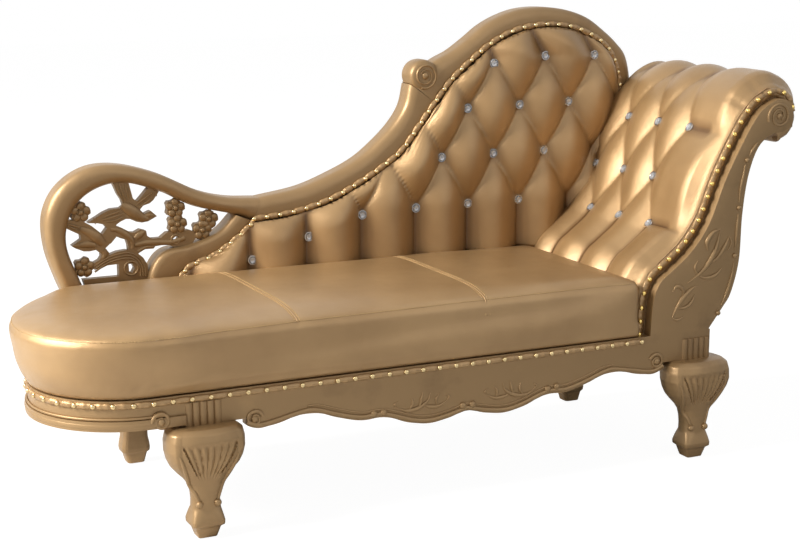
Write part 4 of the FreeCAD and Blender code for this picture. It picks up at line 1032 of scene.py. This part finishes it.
# Plan of the foot end: a tight corner at the front, then a long sweep to the rear
CORNER_Y = -0.058
TIGHT_X, TIGHT_RADIUS = -0.665, 0.192
SWEEP_X, SWEEP_RADIUS = -0.595, 0.262
SWEEP_TURN = 42.6
FOOT_GROW = 0.038
SEAT_PROFILE = [
    (0.0, 0.006, 0.3005), (0.0, 0.0, 0.303), (0.30, 0.0, 0.322), (0.62, 0.0, 0.350),
    (0.86, 0.0, 0.380), (0.97, 0.0, 0.404), (1.0, 0.0, 0.418), (1.0, 0.005, 0.4265),
    (1.0, 0.014, 0.4305), (1.0, 0.035, 0.4335), (1.0, 0.075, 0.4365), (1.0, 0.13, 0.4385),
]
SEAT_SEAMS = (0.203, 0.638)
SEAM_WIDTH = 0.014
SEAM_DEPTH = 0.0022
EDGE_SEAM = 0.4195


def front_grow(x):
    """How far the seat stands past the front apron, along the couch."""
    x -= LEG_X
    if x <= OVERHANG[0][0]:
        return OVERHANG[0][1]
    for (low, first), (high, last) in zip(OVERHANG, OVERHANG[1:]):
        if x <= high:
            return first + (last - first) * (x - low) / (high - low)
    return OVERHANG[-1][1]


def seat_outline(share, inset=0.0, rear=0.243, end=0.467, detail=1.0):
    """Plan of the seat: along the front from the arm, round the foot end, back along the rear."""
    points = []
    count = int(60 * detail)
    for index in range(count):
        x = end - inset + (TIGHT_X - end + inset) * index / count
        points.append(Vector((x, Y_FRONT - front_grow(x) * share + inset)))

    def swing(x, radius, start, turn, count, steps):
        for index in range(steps):
            angle = math.radians(start - turn * index / count)
            points.append(Vector((
                x + radius * math.cos(angle), CORNER_Y + radius * math.sin(angle))))

    count = int(24 * detail)
    swing(TIGHT_X, TIGHT_RADIUS + FOOT_GROW * share - inset, 270, 90, count, count)
    swing(SWEEP_X, SWEEP_RADIUS + FOOT_GROW * share - inset, 180, SWEEP_TURN, count, count + 1)
    last = points[-1]
    rise = rear - inset - last.y
    corner = last + Vector((rise * math.tan(math.radians(SWEEP_TURN)), rise))
    stop = Vector((end - inset, rear - inset))
    for start, finish, faces in ((last, corner, 14), (corner, stop, 56)):
        count = int(faces * detail)
        for index in range(1, count + 1):
            points.append(start.lerp(finish, index / count))
    return points


def make_seat():
    """The tight seat as one closed pad, swollen by cloth pressure and pressed in at its seams."""
    values = settings()
    rings = []
    for share, inset, z in SEAT_PROFILE:
        rings.append([Vector((point.x, point.y, z)) for point in seat_outline(share, inset)])
    bm = lofted(rings)
    bmesh.ops.triangulate(bm, faces=[face for face in bm.faces if len(face.verts) > 4])
    seat = finish_piece(bm, "seat_leather", "leather_seat", ["seat_cover", "seat_foam"])
    inflate(seat, values.seat_voxel, values.seat_cap)
    press_seams(seat)
    make_seat_stitching()


CLOTH_FRAMES = 20


def inflate(piece, voxel, cap):
    """Swells a pad with cloth pressure and keeps every point within a cap of where it began."""
    bpy.context.view_layer.objects.active = piece
    piece.select_set(True)
    remesh = piece.modifiers.new("Even faces", "REMESH")
    remesh.mode = "VOXEL"
    remesh.voxel_size = voxel
    bpy.ops.object.modifier_apply(modifier=remesh.name)
    start = [vert.co.copy() for vert in piece.data.vertices]
    held = piece.vertex_groups.new(name="held")
    kept = [
        index for index, point in enumerate(start)
        if point.z < 0.315 or point.x > 0.452 or point.y > 0.232]
    held.add(kept, 1.0, "REPLACE")
    cloth = piece.modifiers.new("Cloth", "CLOTH")
    cloth.settings.use_pressure = True
    cloth.settings.uniform_pressure_force = 4
    cloth.settings.effector_weights.gravity = 0
    cloth.settings.vertex_group_mass = "held"
    cloth.settings.quality = 4
    cloth.collision_settings.use_collision = False
    cloth.point_cache.frame_start = 1
    cloth.point_cache.frame_end = CLOTH_FRAMES
    for step in range(1, CLOTH_FRAMES + 1):
        bpy.context.scene.frame_set(step)
    bpy.ops.object.modifier_apply(modifier=cloth.name)
    bpy.context.scene.frame_set(1)
    for vert, origin in zip(piece.data.vertices, start):
        move = vert.co - origin
        if move.length > cap:
            vert.co = origin + move * (cap / move.length)
    piece.vertex_groups.clear()
    relax(piece, 14)
    piece.select_set(False)
    piece.data.shade_smooth()


def relax(piece, rounds):
    """Evens out the small ripples that the voxels and the pressure leave."""
    bm = bmesh.new()
    bm.from_mesh(piece.data)
    for _ in range(rounds):
        smooth(bm, [vert for vert in bm.verts if vert.co.z > 0.33], 0.5)
    bm.to_mesh(piece.data)
    bm.free()


def press_seams(piece):
    """Presses the cover in along its stitched seams."""
    for vert in piece.data.vertices:
        point = vert.co
        if point.z > 0.40:
            for seam in SEAT_SEAMS:
                distance = abs(point.x - LEG_X - seam)
                if distance < SEAM_WIDTH:
                    vert.co.z -= SEAM_DEPTH * (1 - distance / SEAM_WIDTH) ** 2
        if 0.405 < point.z < 0.43 and point.y < 0.22:
            near = abs(point.z - EDGE_SEAM)
            inward = Vector((-0.6 - point.x if point.x < -0.6 else 0.0, -0.05 - point.y, 0))
            if near < 0.006 and inward.length > 0.05:
                vert.co += inward.normalized() * 0.0018 * (1 - near / 0.006)


def stitches(bm, path, pitch, length, radius):
    """A row of short stitches laid along a path."""
    count = max(4, int(run_length(path) / pitch))
    places = resample(path, count)
    for before, here in zip(places, places[1:]):
        ahead = (here - before).normalized()
        middle = (before + here) / 2
        ends = [
            middle - ahead * length / 2, middle + UP * radius * 0.7 * 0.6,
            middle + ahead * length / 2]
        # leans off the stitches' own directions, so that none runs along it
        tube(ends, [radius * 0.5, radius, radius * 0.5], 5, bm, up=Vector((0.31, 0.2, 0.93)))


def surface_height(skin, x, y):
    hit = skin.ray_cast(Vector((x, y, 0.6)), -UP)
    return hit[0].z if hit[0] else Z_SEAT


def cross_seam_path(skin, x):
    """A line over the seat and down its front edge, on the leather."""
    path = []
    for index in range(61):
        y = 0.228 - 0.478 * index / 60
        path.append(Vector((x, y, surface_height(skin, x, y) + 0.0002)))
    front = Y_FRONT - front_grow(x)
    for index in range(4):
        level = 0.433 - 0.0022 * index
        hit = skin.ray_cast(Vector((x, front - 0.1, level)), -TO_FRONT)
        if hit[0] and hit[0].y < path[60].y:
            path.append(hit[0] + Vector((0, -0.0002, 0)))
    return path


def edge_seam_path(skin):
    """A line round the upper edge of the seat, on the leather, from the arm to the rear."""
    level = EDGE_SEAM + 0.004
    path = []
    for point in seat_outline(1.0, 0.0, detail=2.0):
        if point.y > 0.215:
            break
        centre = Vector((max(-0.6, min(point.x, 0.46)), -0.05, level))
        origin = Vector((point.x, point.y, level))
        out = (origin - centre).normalized()
        hit = skin.ray_cast(origin + out * 0.05, -out)
        if hit[0] and (hit[0] - origin).length < 0.03:
            path.append(hit[0] + out * 0.0003)
    return path


def make_seat_stitching():
    """Double rows of stitches across the seat and one row round its edge, with a dark tube under
    that row as painted shadow in its seam.
    """
    skin = skin_of("seat_leather")
    thread = bmesh.new()
    welt = bmesh.new()
    for seam in SEAT_SEAMS:
        for side in (-0.0055, 0.0, 0.0055):
            path = cross_seam_path(skin, seam + side + LEG_X)
            if side == 0.0:
                tube(resample(path, 120), 0.0016, 6, welt, up=Vector((1, 0, 0)))
            else:
                stitches(thread, path, 0.0075, 0.0058, 0.0013)
    finish_piece(welt, "seat_cross_seams", "leather_seat")
    path = edge_seam_path(skin)
    stitches(thread, path, 0.0065, 0.005, 0.0009)
    # painted shadow: a dark tube under the edge stitches, where the seam is drawn in
    seam_shadow_tube = bmesh.new()
    lower = [point + Vector((0, 0, -0.0045)) for point in path]
    tube(resample(lower, 500), 0.0012, 6, seam_shadow_tube, up=UP)
    finish_piece(seam_shadow_tube, "seat_edge_seam_shadow", "seam_shadow")
    finish_piece(thread, "seat_stitching", "thread")


# Bands, nails and buttons


def gathered_band(bm, path, outward, half, thick, pitch):
    """A folded band: pinched where the nails hold it, puffed with small pleats between them."""
    rings = []
    travelled = 0.0
    for index, point in enumerate(path):
        low = max(index - 1, 0)
        high = min(index + 1, len(path) - 1)
        if index:
            travelled += (point - path[index - 1]).length
        ahead = (path[high] - path[low]).normalized()
        out = outward[index]
        across = ahead.cross(out).normalized()
        puff = abs(math.sin(math.pi * travelled / pitch)) ** 0.7
        pleat = 0.0005 * math.sin(5 * math.pi * travelled / pitch)
        wide = half * (0.6 + 0.4 * puff) + pleat * 0.5
        tall = thick * (0.35 + 0.65 * puff) + pleat
        rings.append(oval(point, across, out, wide, tall, 10))
    return lofted(rings, bm)


def nailed_band(bands, nails, path, outward, half, thick, pitch, lift):
    gathered_band(bands, path, outward, half, thick, pitch)
    nail_row(nails, path, outward, pitch, lift)


def nail_row(bm, path, outward, pitch, lift):
    """Domed nail heads, one at each pinch of a band."""
    radius = settings().nail_radius
    count = int(run_length(path) / pitch)
    step = (len(path) - 1) / (run_length(path) / pitch)
    for index in range(count + 1):
        place = min(len(path) - 1, round(index * step))
        head = path[place] + outward[place] * lift
        dome(bm, head, outward[place], radius, radius * 0.7, 14, 8)


def make_back_trim():
    seam = resample(curve(at(BACK_SEAM), 300), 900)
    arc = curve(at(ARC_LOWER[1:]), 240)
    band = bmesh.new()
    nails = bmesh.new()
    for run, pitch in ((seam, 0.0325), (arc, 0.031)):
        path = raised(run, 0.2425)
        nailed_band(band, nails, path, [TO_FRONT] * len(path), 0.0078, 0.0052, pitch, 0.0036)
    finish_piece(band, "back_gathered_band", "leatherette", ["crest_band", "arc_band"])
    finish_piece(nails, "back_nail_heads", "nail_metal", ["back_nails"])


def make_arm_trim():
    path = raised(shifted(curve(at(FACING_INNER[:-2]), 700), 0.016), -0.2272)
    band = bmesh.new()
    nails = bmesh.new()
    nailed_band(band, nails, path, [TO_FRONT] * len(path), 0.0078, 0.0044, 0.032, 0.0032)
    finish_piece(band, "arm_gathered_band", "leatherette", ["arm_band"])
    finish_piece(nails, "arm_nail_heads", "nail_bright", ["arm_nails"])


def make_seat_trim():
    plan = [
        Vector((point.x, point.y, 0.290))
        for point in seat_outline(0.0, 0.0, rear=0.25, end=0.469, detail=3) if point.y < 0.245]
    path = resample(plan, 1200)
    outward = [Vector((ahead.y, -ahead.x, 0)).normalized() for ahead in headings(path)]
    if outward[0].y > 0:
        outward = [-out for out in outward]
    band = bmesh.new()
    nails = bmesh.new()
    nailed_band(band, nails, path, outward, 0.0074, 0.0060, 0.039, 0.0042)
    finish_piece(band, "seat_gathered_band", "leatherette", ["seat_band"])
    finish_piece(nails, "seat_nail_heads", "nail_metal", ["seat_nails"])


def turned(bm, centre, outward, profile, sides):
    """A turned part: rings of a radius at a height along its axis."""
    turn = turn_towards(outward).to_3x3()
    rings = []
    for radius, height in profile:
        ring = []
        for side in range(sides):
            angle = 2 * math.pi * side / sides
            spoke = Vector((radius * math.cos(angle), radius * math.sin(angle), height))
            ring.append(centre + turn @ spoke)
        rings.append(ring)
    lofted(rings, bm)


# Profiles of a button's rim and glass: shares of its radius, and heights
BUTTON_RIM = [
    (0.95, -0.006), (1, 0.0), (1, 0.0014), (0.93, 0.0026), (0.82, 0.0026), (0.76, 0.0014),
]
BUTTON_GLASS = [(0.76, 0.0012), (0.72, 0.0026), (0.5, 0.0048), (0.24, 0.0056)]


def place_button(rims, glasses, skin, centre, outward):
    """Sets a glass button in a pit of the leather, sunk to its rim."""
    turn = turn_towards(outward).to_3x3()
    heights = []
    for side in range(8):
        angle = math.pi * side / 4
        start = centre + turn @ Vector((0.008 * math.cos(angle), 0.008 * math.sin(angle), 0))
        hit = skin.ray_cast(start + outward * 0.08, -outward)
        if hit[0]:
            heights.append((hit[0] - centre).dot(outward))
    level = sum(heights) / len(heights) if heights else 0.0
    seat = centre + outward * (level + 0.0012)
    radius = settings().button_radius
    for bm, profile, sides in ((rims, BUTTON_RIM, 24), (glasses, BUTTON_GLASS, 10)):
        turned(bm, seat, outward, [(radius * share, height) for share, height in profile], sides)


def skin_of(name):
    """A tree of a piece's faces, to find its surface with."""
    bm = bmesh.new()
    bm.from_mesh(bpy.data.objects[name].data)
    skin = BVHTree.FromBMesh(bm)
    bm.free()
    return skin


def make_back_buttons():
    rims = bmesh.new()
    glasses = bmesh.new()
    skin = skin_of("back_leather")
    for point in at(BACK_BUTTONS):
        place_button(rims, glasses, skin, Vector((point.x, 0.24, point.y)), TO_FRONT)
    finish_piece(rims, "back_button_rims", "button_metal", ["back_button_cups"], 40)
    finish_piece(glasses, "back_button_glasses", "crystal", ["back_button_crystals"], 5)


def make_arm_buttons():
    rims = bmesh.new()
    glasses = bmesh.new()
    skin = skin_of("arm_leather")
    points, outward, total = arm_frame_of(600)
    for along, places in ARM_BUTTONS:
        index = round(along / total * (len(points) - 1))
        out = Vector((outward[index].x, 0, outward[index].y))
        for y in places:
            centre = Vector((points[index].x, y, points[index].y)) + out * ARM_REACH
            place_button(rims, glasses, skin, centre, out)
    finish_piece(rims, "arm_button_rims", "button_metal", ["arm_button_cups"], 40)
    finish_piece(glasses, "arm_button_glasses", "crystal", ["arm_button_crystals"], 5)


# Legs and aprons, in millimetres

# Height, half width, front and back of a front leg
KNEE = [
    (235, 66, 36, 65), (226, 78, 46, 66), (210, 82, 50, 66), (190, 82, 50, 62), (172, 78, 46, 57),
    (157, 71, 40, 51), (143, 59, 32, 45), (130, 46, 26, 41), (116, 36, 22, 38), (100, 31, 20, 37),
    (82, 29, 20, 36), (62, 30, 21, 36), (48, 33, 24, 38), (38, 35, 26, 40), (30, 34, 25, 39),
    (25, 27, 18, 33), (3, 19.5, 12, 27),
]
REEDS = 7
SHELL_LOW, SHELL_HIGH = 128, 214
LEG_ROUND = 2.3
LEG_RIDGE = [(68, 206), (66, 196), (61, 182), (54, 163), (44, 138), (35, 116), (25, 96), (19, 80)]


def knee_at(z):
    """Half width, front and back of the leg at a height."""
    for (high, *first), (low, *last) in zip(KNEE, KNEE[1:]):
        if low <= z <= high:
            share = (high - z) / (high - low)
            return [a + (b - a) * share for a, b in zip(first, last)]
    return KNEE[-1][1:]


def reeding(x, z):
    """Depth of the fluted shell on the front of the knee."""
    if not SHELL_LOW < z < SHELL_HIGH:
        return 0.0
    share = (z - SHELL_LOW) / (SHELL_HIGH - SHELL_LOW)
    reach = 17 + 44 * share ** 0.8
    if abs(x) > reach:
        return 0.0
    wave = abs(math.sin(math.pi * REEDS * (x / reach + 1) / 2))
    edge = max(0, min(1, (z - SHELL_LOW) / 16, (206 + 5 * wave - z) / 6))
    return (1.0 + 4.6 * (1 - wave)) * edge


def leg_ring(z):
    """Cross section of a front leg: rounded above, nearly square at the foot."""
    half, front, back = knee_at(z)
    power = LEG_ROUND if z > 66 else min(7, LEG_ROUND + (66 - z) * 0.12)
    ring = []
    for side in range(220):
        angle = 2 * math.pi * side / 220
        cos, sin = math.cos(angle), math.sin(angle)
        x = half * math.copysign(abs(cos) ** (2 / power), cos)
        y = (back if sin > 0 else front) * math.copysign(abs(sin) ** (2 / power), sin)
        if sin < 0:
            y += reeding(x, z)
            drape = max(0, 1 - abs(abs(x) / half - 0.86) / 0.14)
            drape *= max(0, 1 - abs(z - 188) / 48) ** 0.7
            y -= 6 * drape ** 0.8
        ring.append((x, y))
    return ring


def make_front_leg(name, place, nodes):
    """A carved leg: fluted knee with a ridge down each side, ending in a small ball."""
    bm = bmesh.new()
    heights = [235, 234, 231]
    heights += [228 - 2.5 * step for step in range(72)]
    heights += [47, 44, 40, 38.5, 36, 33, 30.5, 29.5, 26, 24.5, 20, 14, 8, 4.5, 3.5, 3]
    rings = []
    for z in heights:
        shrink = 0.985 if z in (235, 3) else 1.0
        rings.append([
            Vector((place + x * shrink / 1000, Y_FRONT + y * shrink / 1000, z / 1000))
            for x, y in leg_ring(z)])
    lofted(rings, bm)
    for side in (-1, 1):
        path = []
        for x, z in LEG_RIDGE:
            half, front, _ = knee_at(z)
            y = -front * (1 - min(0.97, abs(x) / half) ** LEG_ROUND) ** (1 / LEG_ROUND)
            path.append(Vector((place + side * x / 1000, Y_FRONT + y / 1000, z / 1000)))
        path = curve(path, 50)
        widths = [0.002 + 0.003 * math.sin(math.pi * index / 60) for index in range(50)]
        tube(path, widths, 10, bm)
        dome(bm, path[-1] + Vector((0, -0.002, -0.004)), TO_FRONT, 0.0078, 0.0075, 16, 10)
    finish_piece(bm, name, "gilt_wood", nodes, 50)


def make_front_legs():
    make_front_leg("front_leg_foot_end", LEG_X, ["leg_front_foot"])
    make_front_leg("front_leg_head_end", LEG_X + 2 * APRON_MIDDLE / 1000, ["leg_front_head"])


APRON_BEADS = [(371, 208), (393, 208), (580, 199), (603, 199), (789, 210), (812, 213)]
APRON_SPRAYS = [
    ([(-58, 214), (-36, 205), (-8, 208), (14, 222), (20, 238)], [1, 4, 5.5, 4, 1]),
    ([(58, 216), (38, 206), (14, 208), (2, 216)], [1, 4, 5, 1]),
    ([(-30, 206), (-22, 220), (-26, 234)], [1.5, 4, 1]),
    ([(-8, 208), (-2, 224), (2, 242)], [2, 4.5, 1]),
    ([(36, 206), (34, 222), (42, 234)], [1.5, 4, 1]),
    ([(-58, 214), (-64, 222), (-56, 228)], [1, 3, 1]),
    ([(58, 216), (64, 224), (56, 230)], [1, 3, 1]),
]


def apron_line(bm, edge, spread, rise, count, radius, sides, flat):
    """A moulding that runs along the waved edge, the same on both sides of the middle."""
    right, left = (
        curve(at([(APRON_MIDDLE + hand * x * spread, z + rise) for x, z in edge]), count)
        for hand in (1, -1))
    tube(raised(left[::-1] + right[1:], Y_FRONT), radius, sides, bm, flat)


def make_apron_carving():
    """Raised moulding along the waved edge, pairs of beads, leaf sprays and scroll ends."""
    bm = bmesh.new()
    apron_line(bm, APRON_EDGE, 1, 7, 90, settings().bead_radius, 10, 0.9)
    apron_line(bm, APRON_EDGE[:9], 0.985, 17, 60, 0.0022, 8, 0.8)
    for bead in at(APRON_BEADS):
        boss(bm, bead, Y_FRONT, 0.0085, 0.007)
    for middle, mirror in ((483, 1), (697, -1)):
        for points, widths in APRON_SPRAYS:
            ribbon(bm, [(middle + mirror * x, z) for x, z in points], widths, Y_FRONT, 0.85)
    left, right = at([(107, 232), (1073, 240)])
    scroll_end(bm, left, 0.018, Y_FRONT, 0.3, 1)
    scroll_end(bm, right, 0.018, Y_FRONT, 2.8, -1)
    finish_piece(bm, "apron_carving", "gilt_wood", (), 60)


def make_foot_apron_moulding():
    """Rounded lower edge of the foot apron, a cove line above it and a scroll beside the leg."""
    bm = bmesh.new()
    plan = [
        point for point in seat_outline(0.0, -0.002, rear=0.245, end=-0.64, detail=3)
        if point.y < 0.246 and point.x < LEG_X - 0.040]
    for height, radius, flat in ((0.249, 0.0085, 0.6), (0.2635, 0.0028, 0.8)):
        path = resample([Vector((point.x, point.y, height)) for point in plan], 140)
        rings = []
        for point, ahead in zip(path, headings(path)):
            out = Vector((ahead.y, -ahead.x, 0)).normalized()
            if out.dot(point - Vector((-0.6, 0, height))) < 0:
                out = -out
            rings.append(oval(point, UP, out, radius, radius * flat, 12))
        lofted(rings, bm)
    scroll_end(bm, at([(-88, 252)])[0], 0.019, Y_FRONT - 0.004, math.pi, -1)
    finish_piece(bm, "foot_apron_moulding", "gilt_wood", (), 60)


# Sheets and finishes


def make_back_sheet():
    """Cover of the rear of the back, tacked flat inside the carved frame."""
    top_edge = shifted(curve(at(BACK_SEAM), 160), -0.0015)
    edge = curve(at(ARC_LOWER), 60)[:-1] + top_edge
    post = at([(1168, 300), (1208, 352), (1230, 388), (1250, 454), (1264, 600), (1284, 700)])
    left = 0.1005 + LEG_X
    right = 1.2795 + LEG_X

    def place(u, v):
        x = left + (right - left) * u
        top = height_over(edge, x)
        low = 0.3008
        if x > post[0].x:
            low = height_over(post, x)
        return Vector((x, Y_BACK - 0.0012, low + (max(top, low + 0.001) - low) * v))

    bm = cloth_grid(90, 40, place)
    area = sum(face.calc_area() for face in bm.faces)
    face_towards(bm, Vector((0, 1, 0)))
    sheet = finish_piece(
        bm, "back_outer_sheet", "leatherette", ["back_outside_cover"], outside=False)
    thicken(sheet, 0.0012)


BEHIND_BLOCKS = -0.178


def make_bottom_sheet():
    """Thin black cloth tacked under the seat."""
    low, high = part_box("dust_cover")
    bm = bmesh.new()
    bmesh.ops.create_grid(bm, x_segments=1, y_segments=1, size=0.5)
    middle = (Vector(low) + Vector(high)) / 2
    wide = high[0] - low[0]
    deep = high[1] - BEHIND_BLOCKS
    for vert in bm.verts:
        vert.co = Vector((
            middle.x + vert.co.x * wide, BEHIND_BLOCKS + (vert.co.y + 0.5) * deep,
            low[2] + 0.0006))
    face_towards(bm, -UP)
    sheet = finish_piece(bm, "bottom_sheet", "lining", ["dust_cover"], outside=False)
    thicken(sheet, 0.0006)


def finish_nodes():
    """Gives every CAD node the finish of its slot, and the pierced panel a darker copy of the
    gilding as painted shade.
    """
    finishes = {part["node"]: part["material_slot"] for part in frame["record"]["subparts"]}
    finishes["fretwork_panel"] = "gilt_panel_shaded"
    for name, piece in frame["nodes"].items():
        piece.data.materials.clear()
        piece.data.materials.append(materials[finishes[name]])


# Floor, light and camera

CAMERA_PLACE = Vector((-1.580, -3.250, 1.200))
CAMERA_AIM = Vector((0.4260, 0.8813, -0.2045))
CAMERA_LENS = 74.475


def bright_to_camera(name, colour, share):
    """A matt ground that the camera sees nearly white and that keeps its shadow."""
    material, tree, shader = new_material(name)
    shader.inputs["Base Color"].default_value = colour
    shader.inputs["Roughness"].default_value = 0.9
    shader.inputs["Specular IOR Level"].default_value = 0.1
    glow = tree.nodes.new("ShaderNodeEmission")
    glow.inputs["Strength"].default_value = 1.2
    path = tree.nodes.new("ShaderNodeLightPath")
    amount = tree.nodes.new("ShaderNodeMath")
    amount.operation = "MULTIPLY"
    amount.inputs[1].default_value = share
    tree.links.new(path.outputs["Is Camera Ray"], amount.inputs[0])
    mix = tree.nodes.new("ShaderNodeMixShader")
    tree.links.new(amount.outputs[0], mix.inputs[0])
    tree.links.new(shader.outputs[0], mix.inputs[1])
    tree.links.new(glow.outputs[0], mix.inputs[2])
    tree.links.new(mix.outputs[0], tree.nodes["Material Output"].inputs["Surface"])
    return material


def make_floor():
    bm = bmesh.new()
    bmesh.ops.create_grid(bm, x_segments=1, y_segments=1, size=14)
    mesh = bpy.data.meshes.new("floor")
    bm.to_mesh(mesh)
    bm.free()
    floor = bpy.data.objects.new("floor", mesh)
    mesh.materials.append(bright_to_camera("pale_floor", (0.80, 0.80, 0.80, 1), 0.80))
    bpy.context.scene.collection.objects.link(floor)


def make_world():
    """Even soft light that the camera, reflections and glass see as white."""
    world = bpy.data.worlds.new("soft_white")
    bpy.context.scene.world = world
    world.use_nodes = True
    tree = world.node_tree
    soft = tree.nodes["Background"]
    soft.inputs["Color"].default_value = WHITE
    soft.inputs["Strength"].default_value = 0.18
    white = tree.nodes.new("ShaderNodeBackground")
    white.inputs["Color"].default_value = WHITE
    white.inputs["Strength"].default_value = 1.0
    path = tree.nodes.new("ShaderNodeLightPath")
    seen = path.outputs["Is Camera Ray"]
    for name in ("Is Glossy Ray", "Is Transmission Ray"):
        either = tree.nodes.new("ShaderNodeMath")
        either.operation = "MAXIMUM"
        tree.links.new(seen, either.inputs[0])
        tree.links.new(path.outputs[name], either.inputs[1])
        seen = either.outputs[0]
    mix = tree.nodes.new("ShaderNodeMixShader")
    tree.links.new(seen, mix.inputs[0])
    tree.links.new(soft.outputs[0], mix.inputs[1])
    tree.links.new(white.outputs[0], mix.inputs[2])
    tree.links.new(mix.outputs[0], tree.nodes["World Output"].inputs["Surface"])


def soft_lamp(name, place, target, size, power, colour):
    light = bpy.data.lights.new(name, "AREA")
    light.shape = "SQUARE"
    light.size = size
    light.energy = power
    light.color = colour
    lamp = bpy.data.objects.new(name, light)
    bpy.context.scene.collection.objects.link(lamp)
    lamp.location = place
    lamp.rotation_euler = (Vector(target) - Vector(place)).to_track_quat("-Z", "Y").to_euler()


def make_camera():
    lens = bpy.data.cameras.new("camera")
    lens.lens = CAMERA_LENS
    lens.sensor_width = 36
    lens.sensor_fit = "HORIZONTAL"
    lens.clip_end = 60
    camera = bpy.data.objects.new("camera", lens)
    bpy.context.scene.collection.objects.link(camera)
    camera.location = CAMERA_PLACE
    camera.rotation_euler = CAMERA_AIM.to_track_quat("-Z", "Y").to_euler()
    bpy.context.scene.camera = camera


def make_stage():
    make_floor()
    make_world()
    soft_lamp("window", (-3.7, 0.1, 2.7), (0.1, 0.0, 0.5), 1.7, 330, (1.0, 0.96, 0.90))
    soft_lamp("room", (1.6, -3.6, 2.2), (0.1, 0.0, 0.4), 3.0, 14, (1.0, 0.98, 0.96))
    make_camera()
    bpy.context.scene.view_settings.view_transform = "Standard"


# Add-on


class COUCH_OT_frame(bpy.types.Operator):
    """Give the CAD parts their finishes"""

    bl_idname = "couch.frame"
    bl_label = "Finish the frame"

    def execute(self, context):
        make_materials()
        finish_nodes()
        return {"FINISHED"}


class COUCH_OT_crest(bpy.types.Operator):
    """Carve the loop, the sweep, the hump, the scroll ear and the pierced panel"""

    bl_idname = "couch.crest"
    bl_label = "Carve the crest"

    def execute(self, context):
        make_crest()
        make_volute()
        make_fretwork_carving()
        return {"FINISHED"}


class COUCH_OT_arm(bpy.types.Operator):
    """Build the rolled arm: facing, tufted leather and outer sheet"""

    bl_idname = "couch.arm"
    bl_label = "Upholster the arm"

    def execute(self, context):
        make_facing()
        make_facing_carving()
        make_arm_cover()
        make_outer_sheet()
        make_arm_buttons()
        make_arm_trim()
        return {"FINISHED"}


class COUCH_OT_back(bpy.types.Operator):
    """Build the buttoned back with its band, nails and rear sheet"""

    bl_idname = "couch.back"
    bl_label = "Upholster the back"

    def execute(self, context):
        make_back_cover()
        make_back_buttons()
        make_back_trim()
        make_back_sheet()
        return {"FINISHED"}


class COUCH_OT_seat(bpy.types.Operator):
    """Inflate the seat, stitch it and nail its band"""

    bl_idname = "couch.seat"
    bl_label = "Upholster the seat"

    def execute(self, context):
        make_seat()
        make_seat_trim()
        make_bottom_sheet()
        return {"FINISHED"}


class COUCH_OT_base(bpy.types.Operator):
    """Carve the front legs and the aprons"""

    bl_idname = "couch.base"
    bl_label = "Carve the base"

    def execute(self, context):
        make_front_legs()
        make_apron_carving()
        make_foot_apron_moulding()
        return {"FINISHED"}


class COUCH_OT_stage(bpy.types.Operator):
    """Set up the floor, the light and the camera"""

    bl_idname = "couch.stage"
    bl_label = "Set the stage"

    def execute(self, context):
        make_stage()
        return {"FINISHED"}


OPERATORS = (
    COUCH_OT_frame, COUCH_OT_crest, COUCH_OT_arm, COUCH_OT_back, COUCH_OT_seat, COUCH_OT_base,
    COUCH_OT_stage,
)


class COUCH_PT_panel(bpy.types.Panel):
    """Sidebar panel that lists the couch's operators"""

    bl_idname = "COUCH_PT_panel"
    bl_label = "Fainting couch"
    bl_space_type = "VIEW_3D"
    bl_region_type = "UI"
    bl_category = "Couch"

    def draw(self, context):
        for operator in OPERATORS:
            self.layout.operator(operator.bl_idname)
        for name in CouchSettings.__annotations__:
            self.layout.prop(context.scene.couch, name)


CLASSES = (CouchSettings,) + OPERATORS + (COUCH_PT_panel,)


def register():
    for item in CLASSES:
        bpy.utils.register_class(item)
    bpy.types.Scene.couch = bpy.props.PointerProperty(type=CouchSettings)


def unregister():
    del bpy.types.Scene.couch
    for item in reversed(CLASSES):
        bpy.utils.unregister_class(item)


def main():
    register()
    run = bpy.ops.couch
    for step in (run.frame, run.crest, run.arm, run.back, run.seat, run.base, run.stage):
        step()


if __name__ == "__main__":
    main()
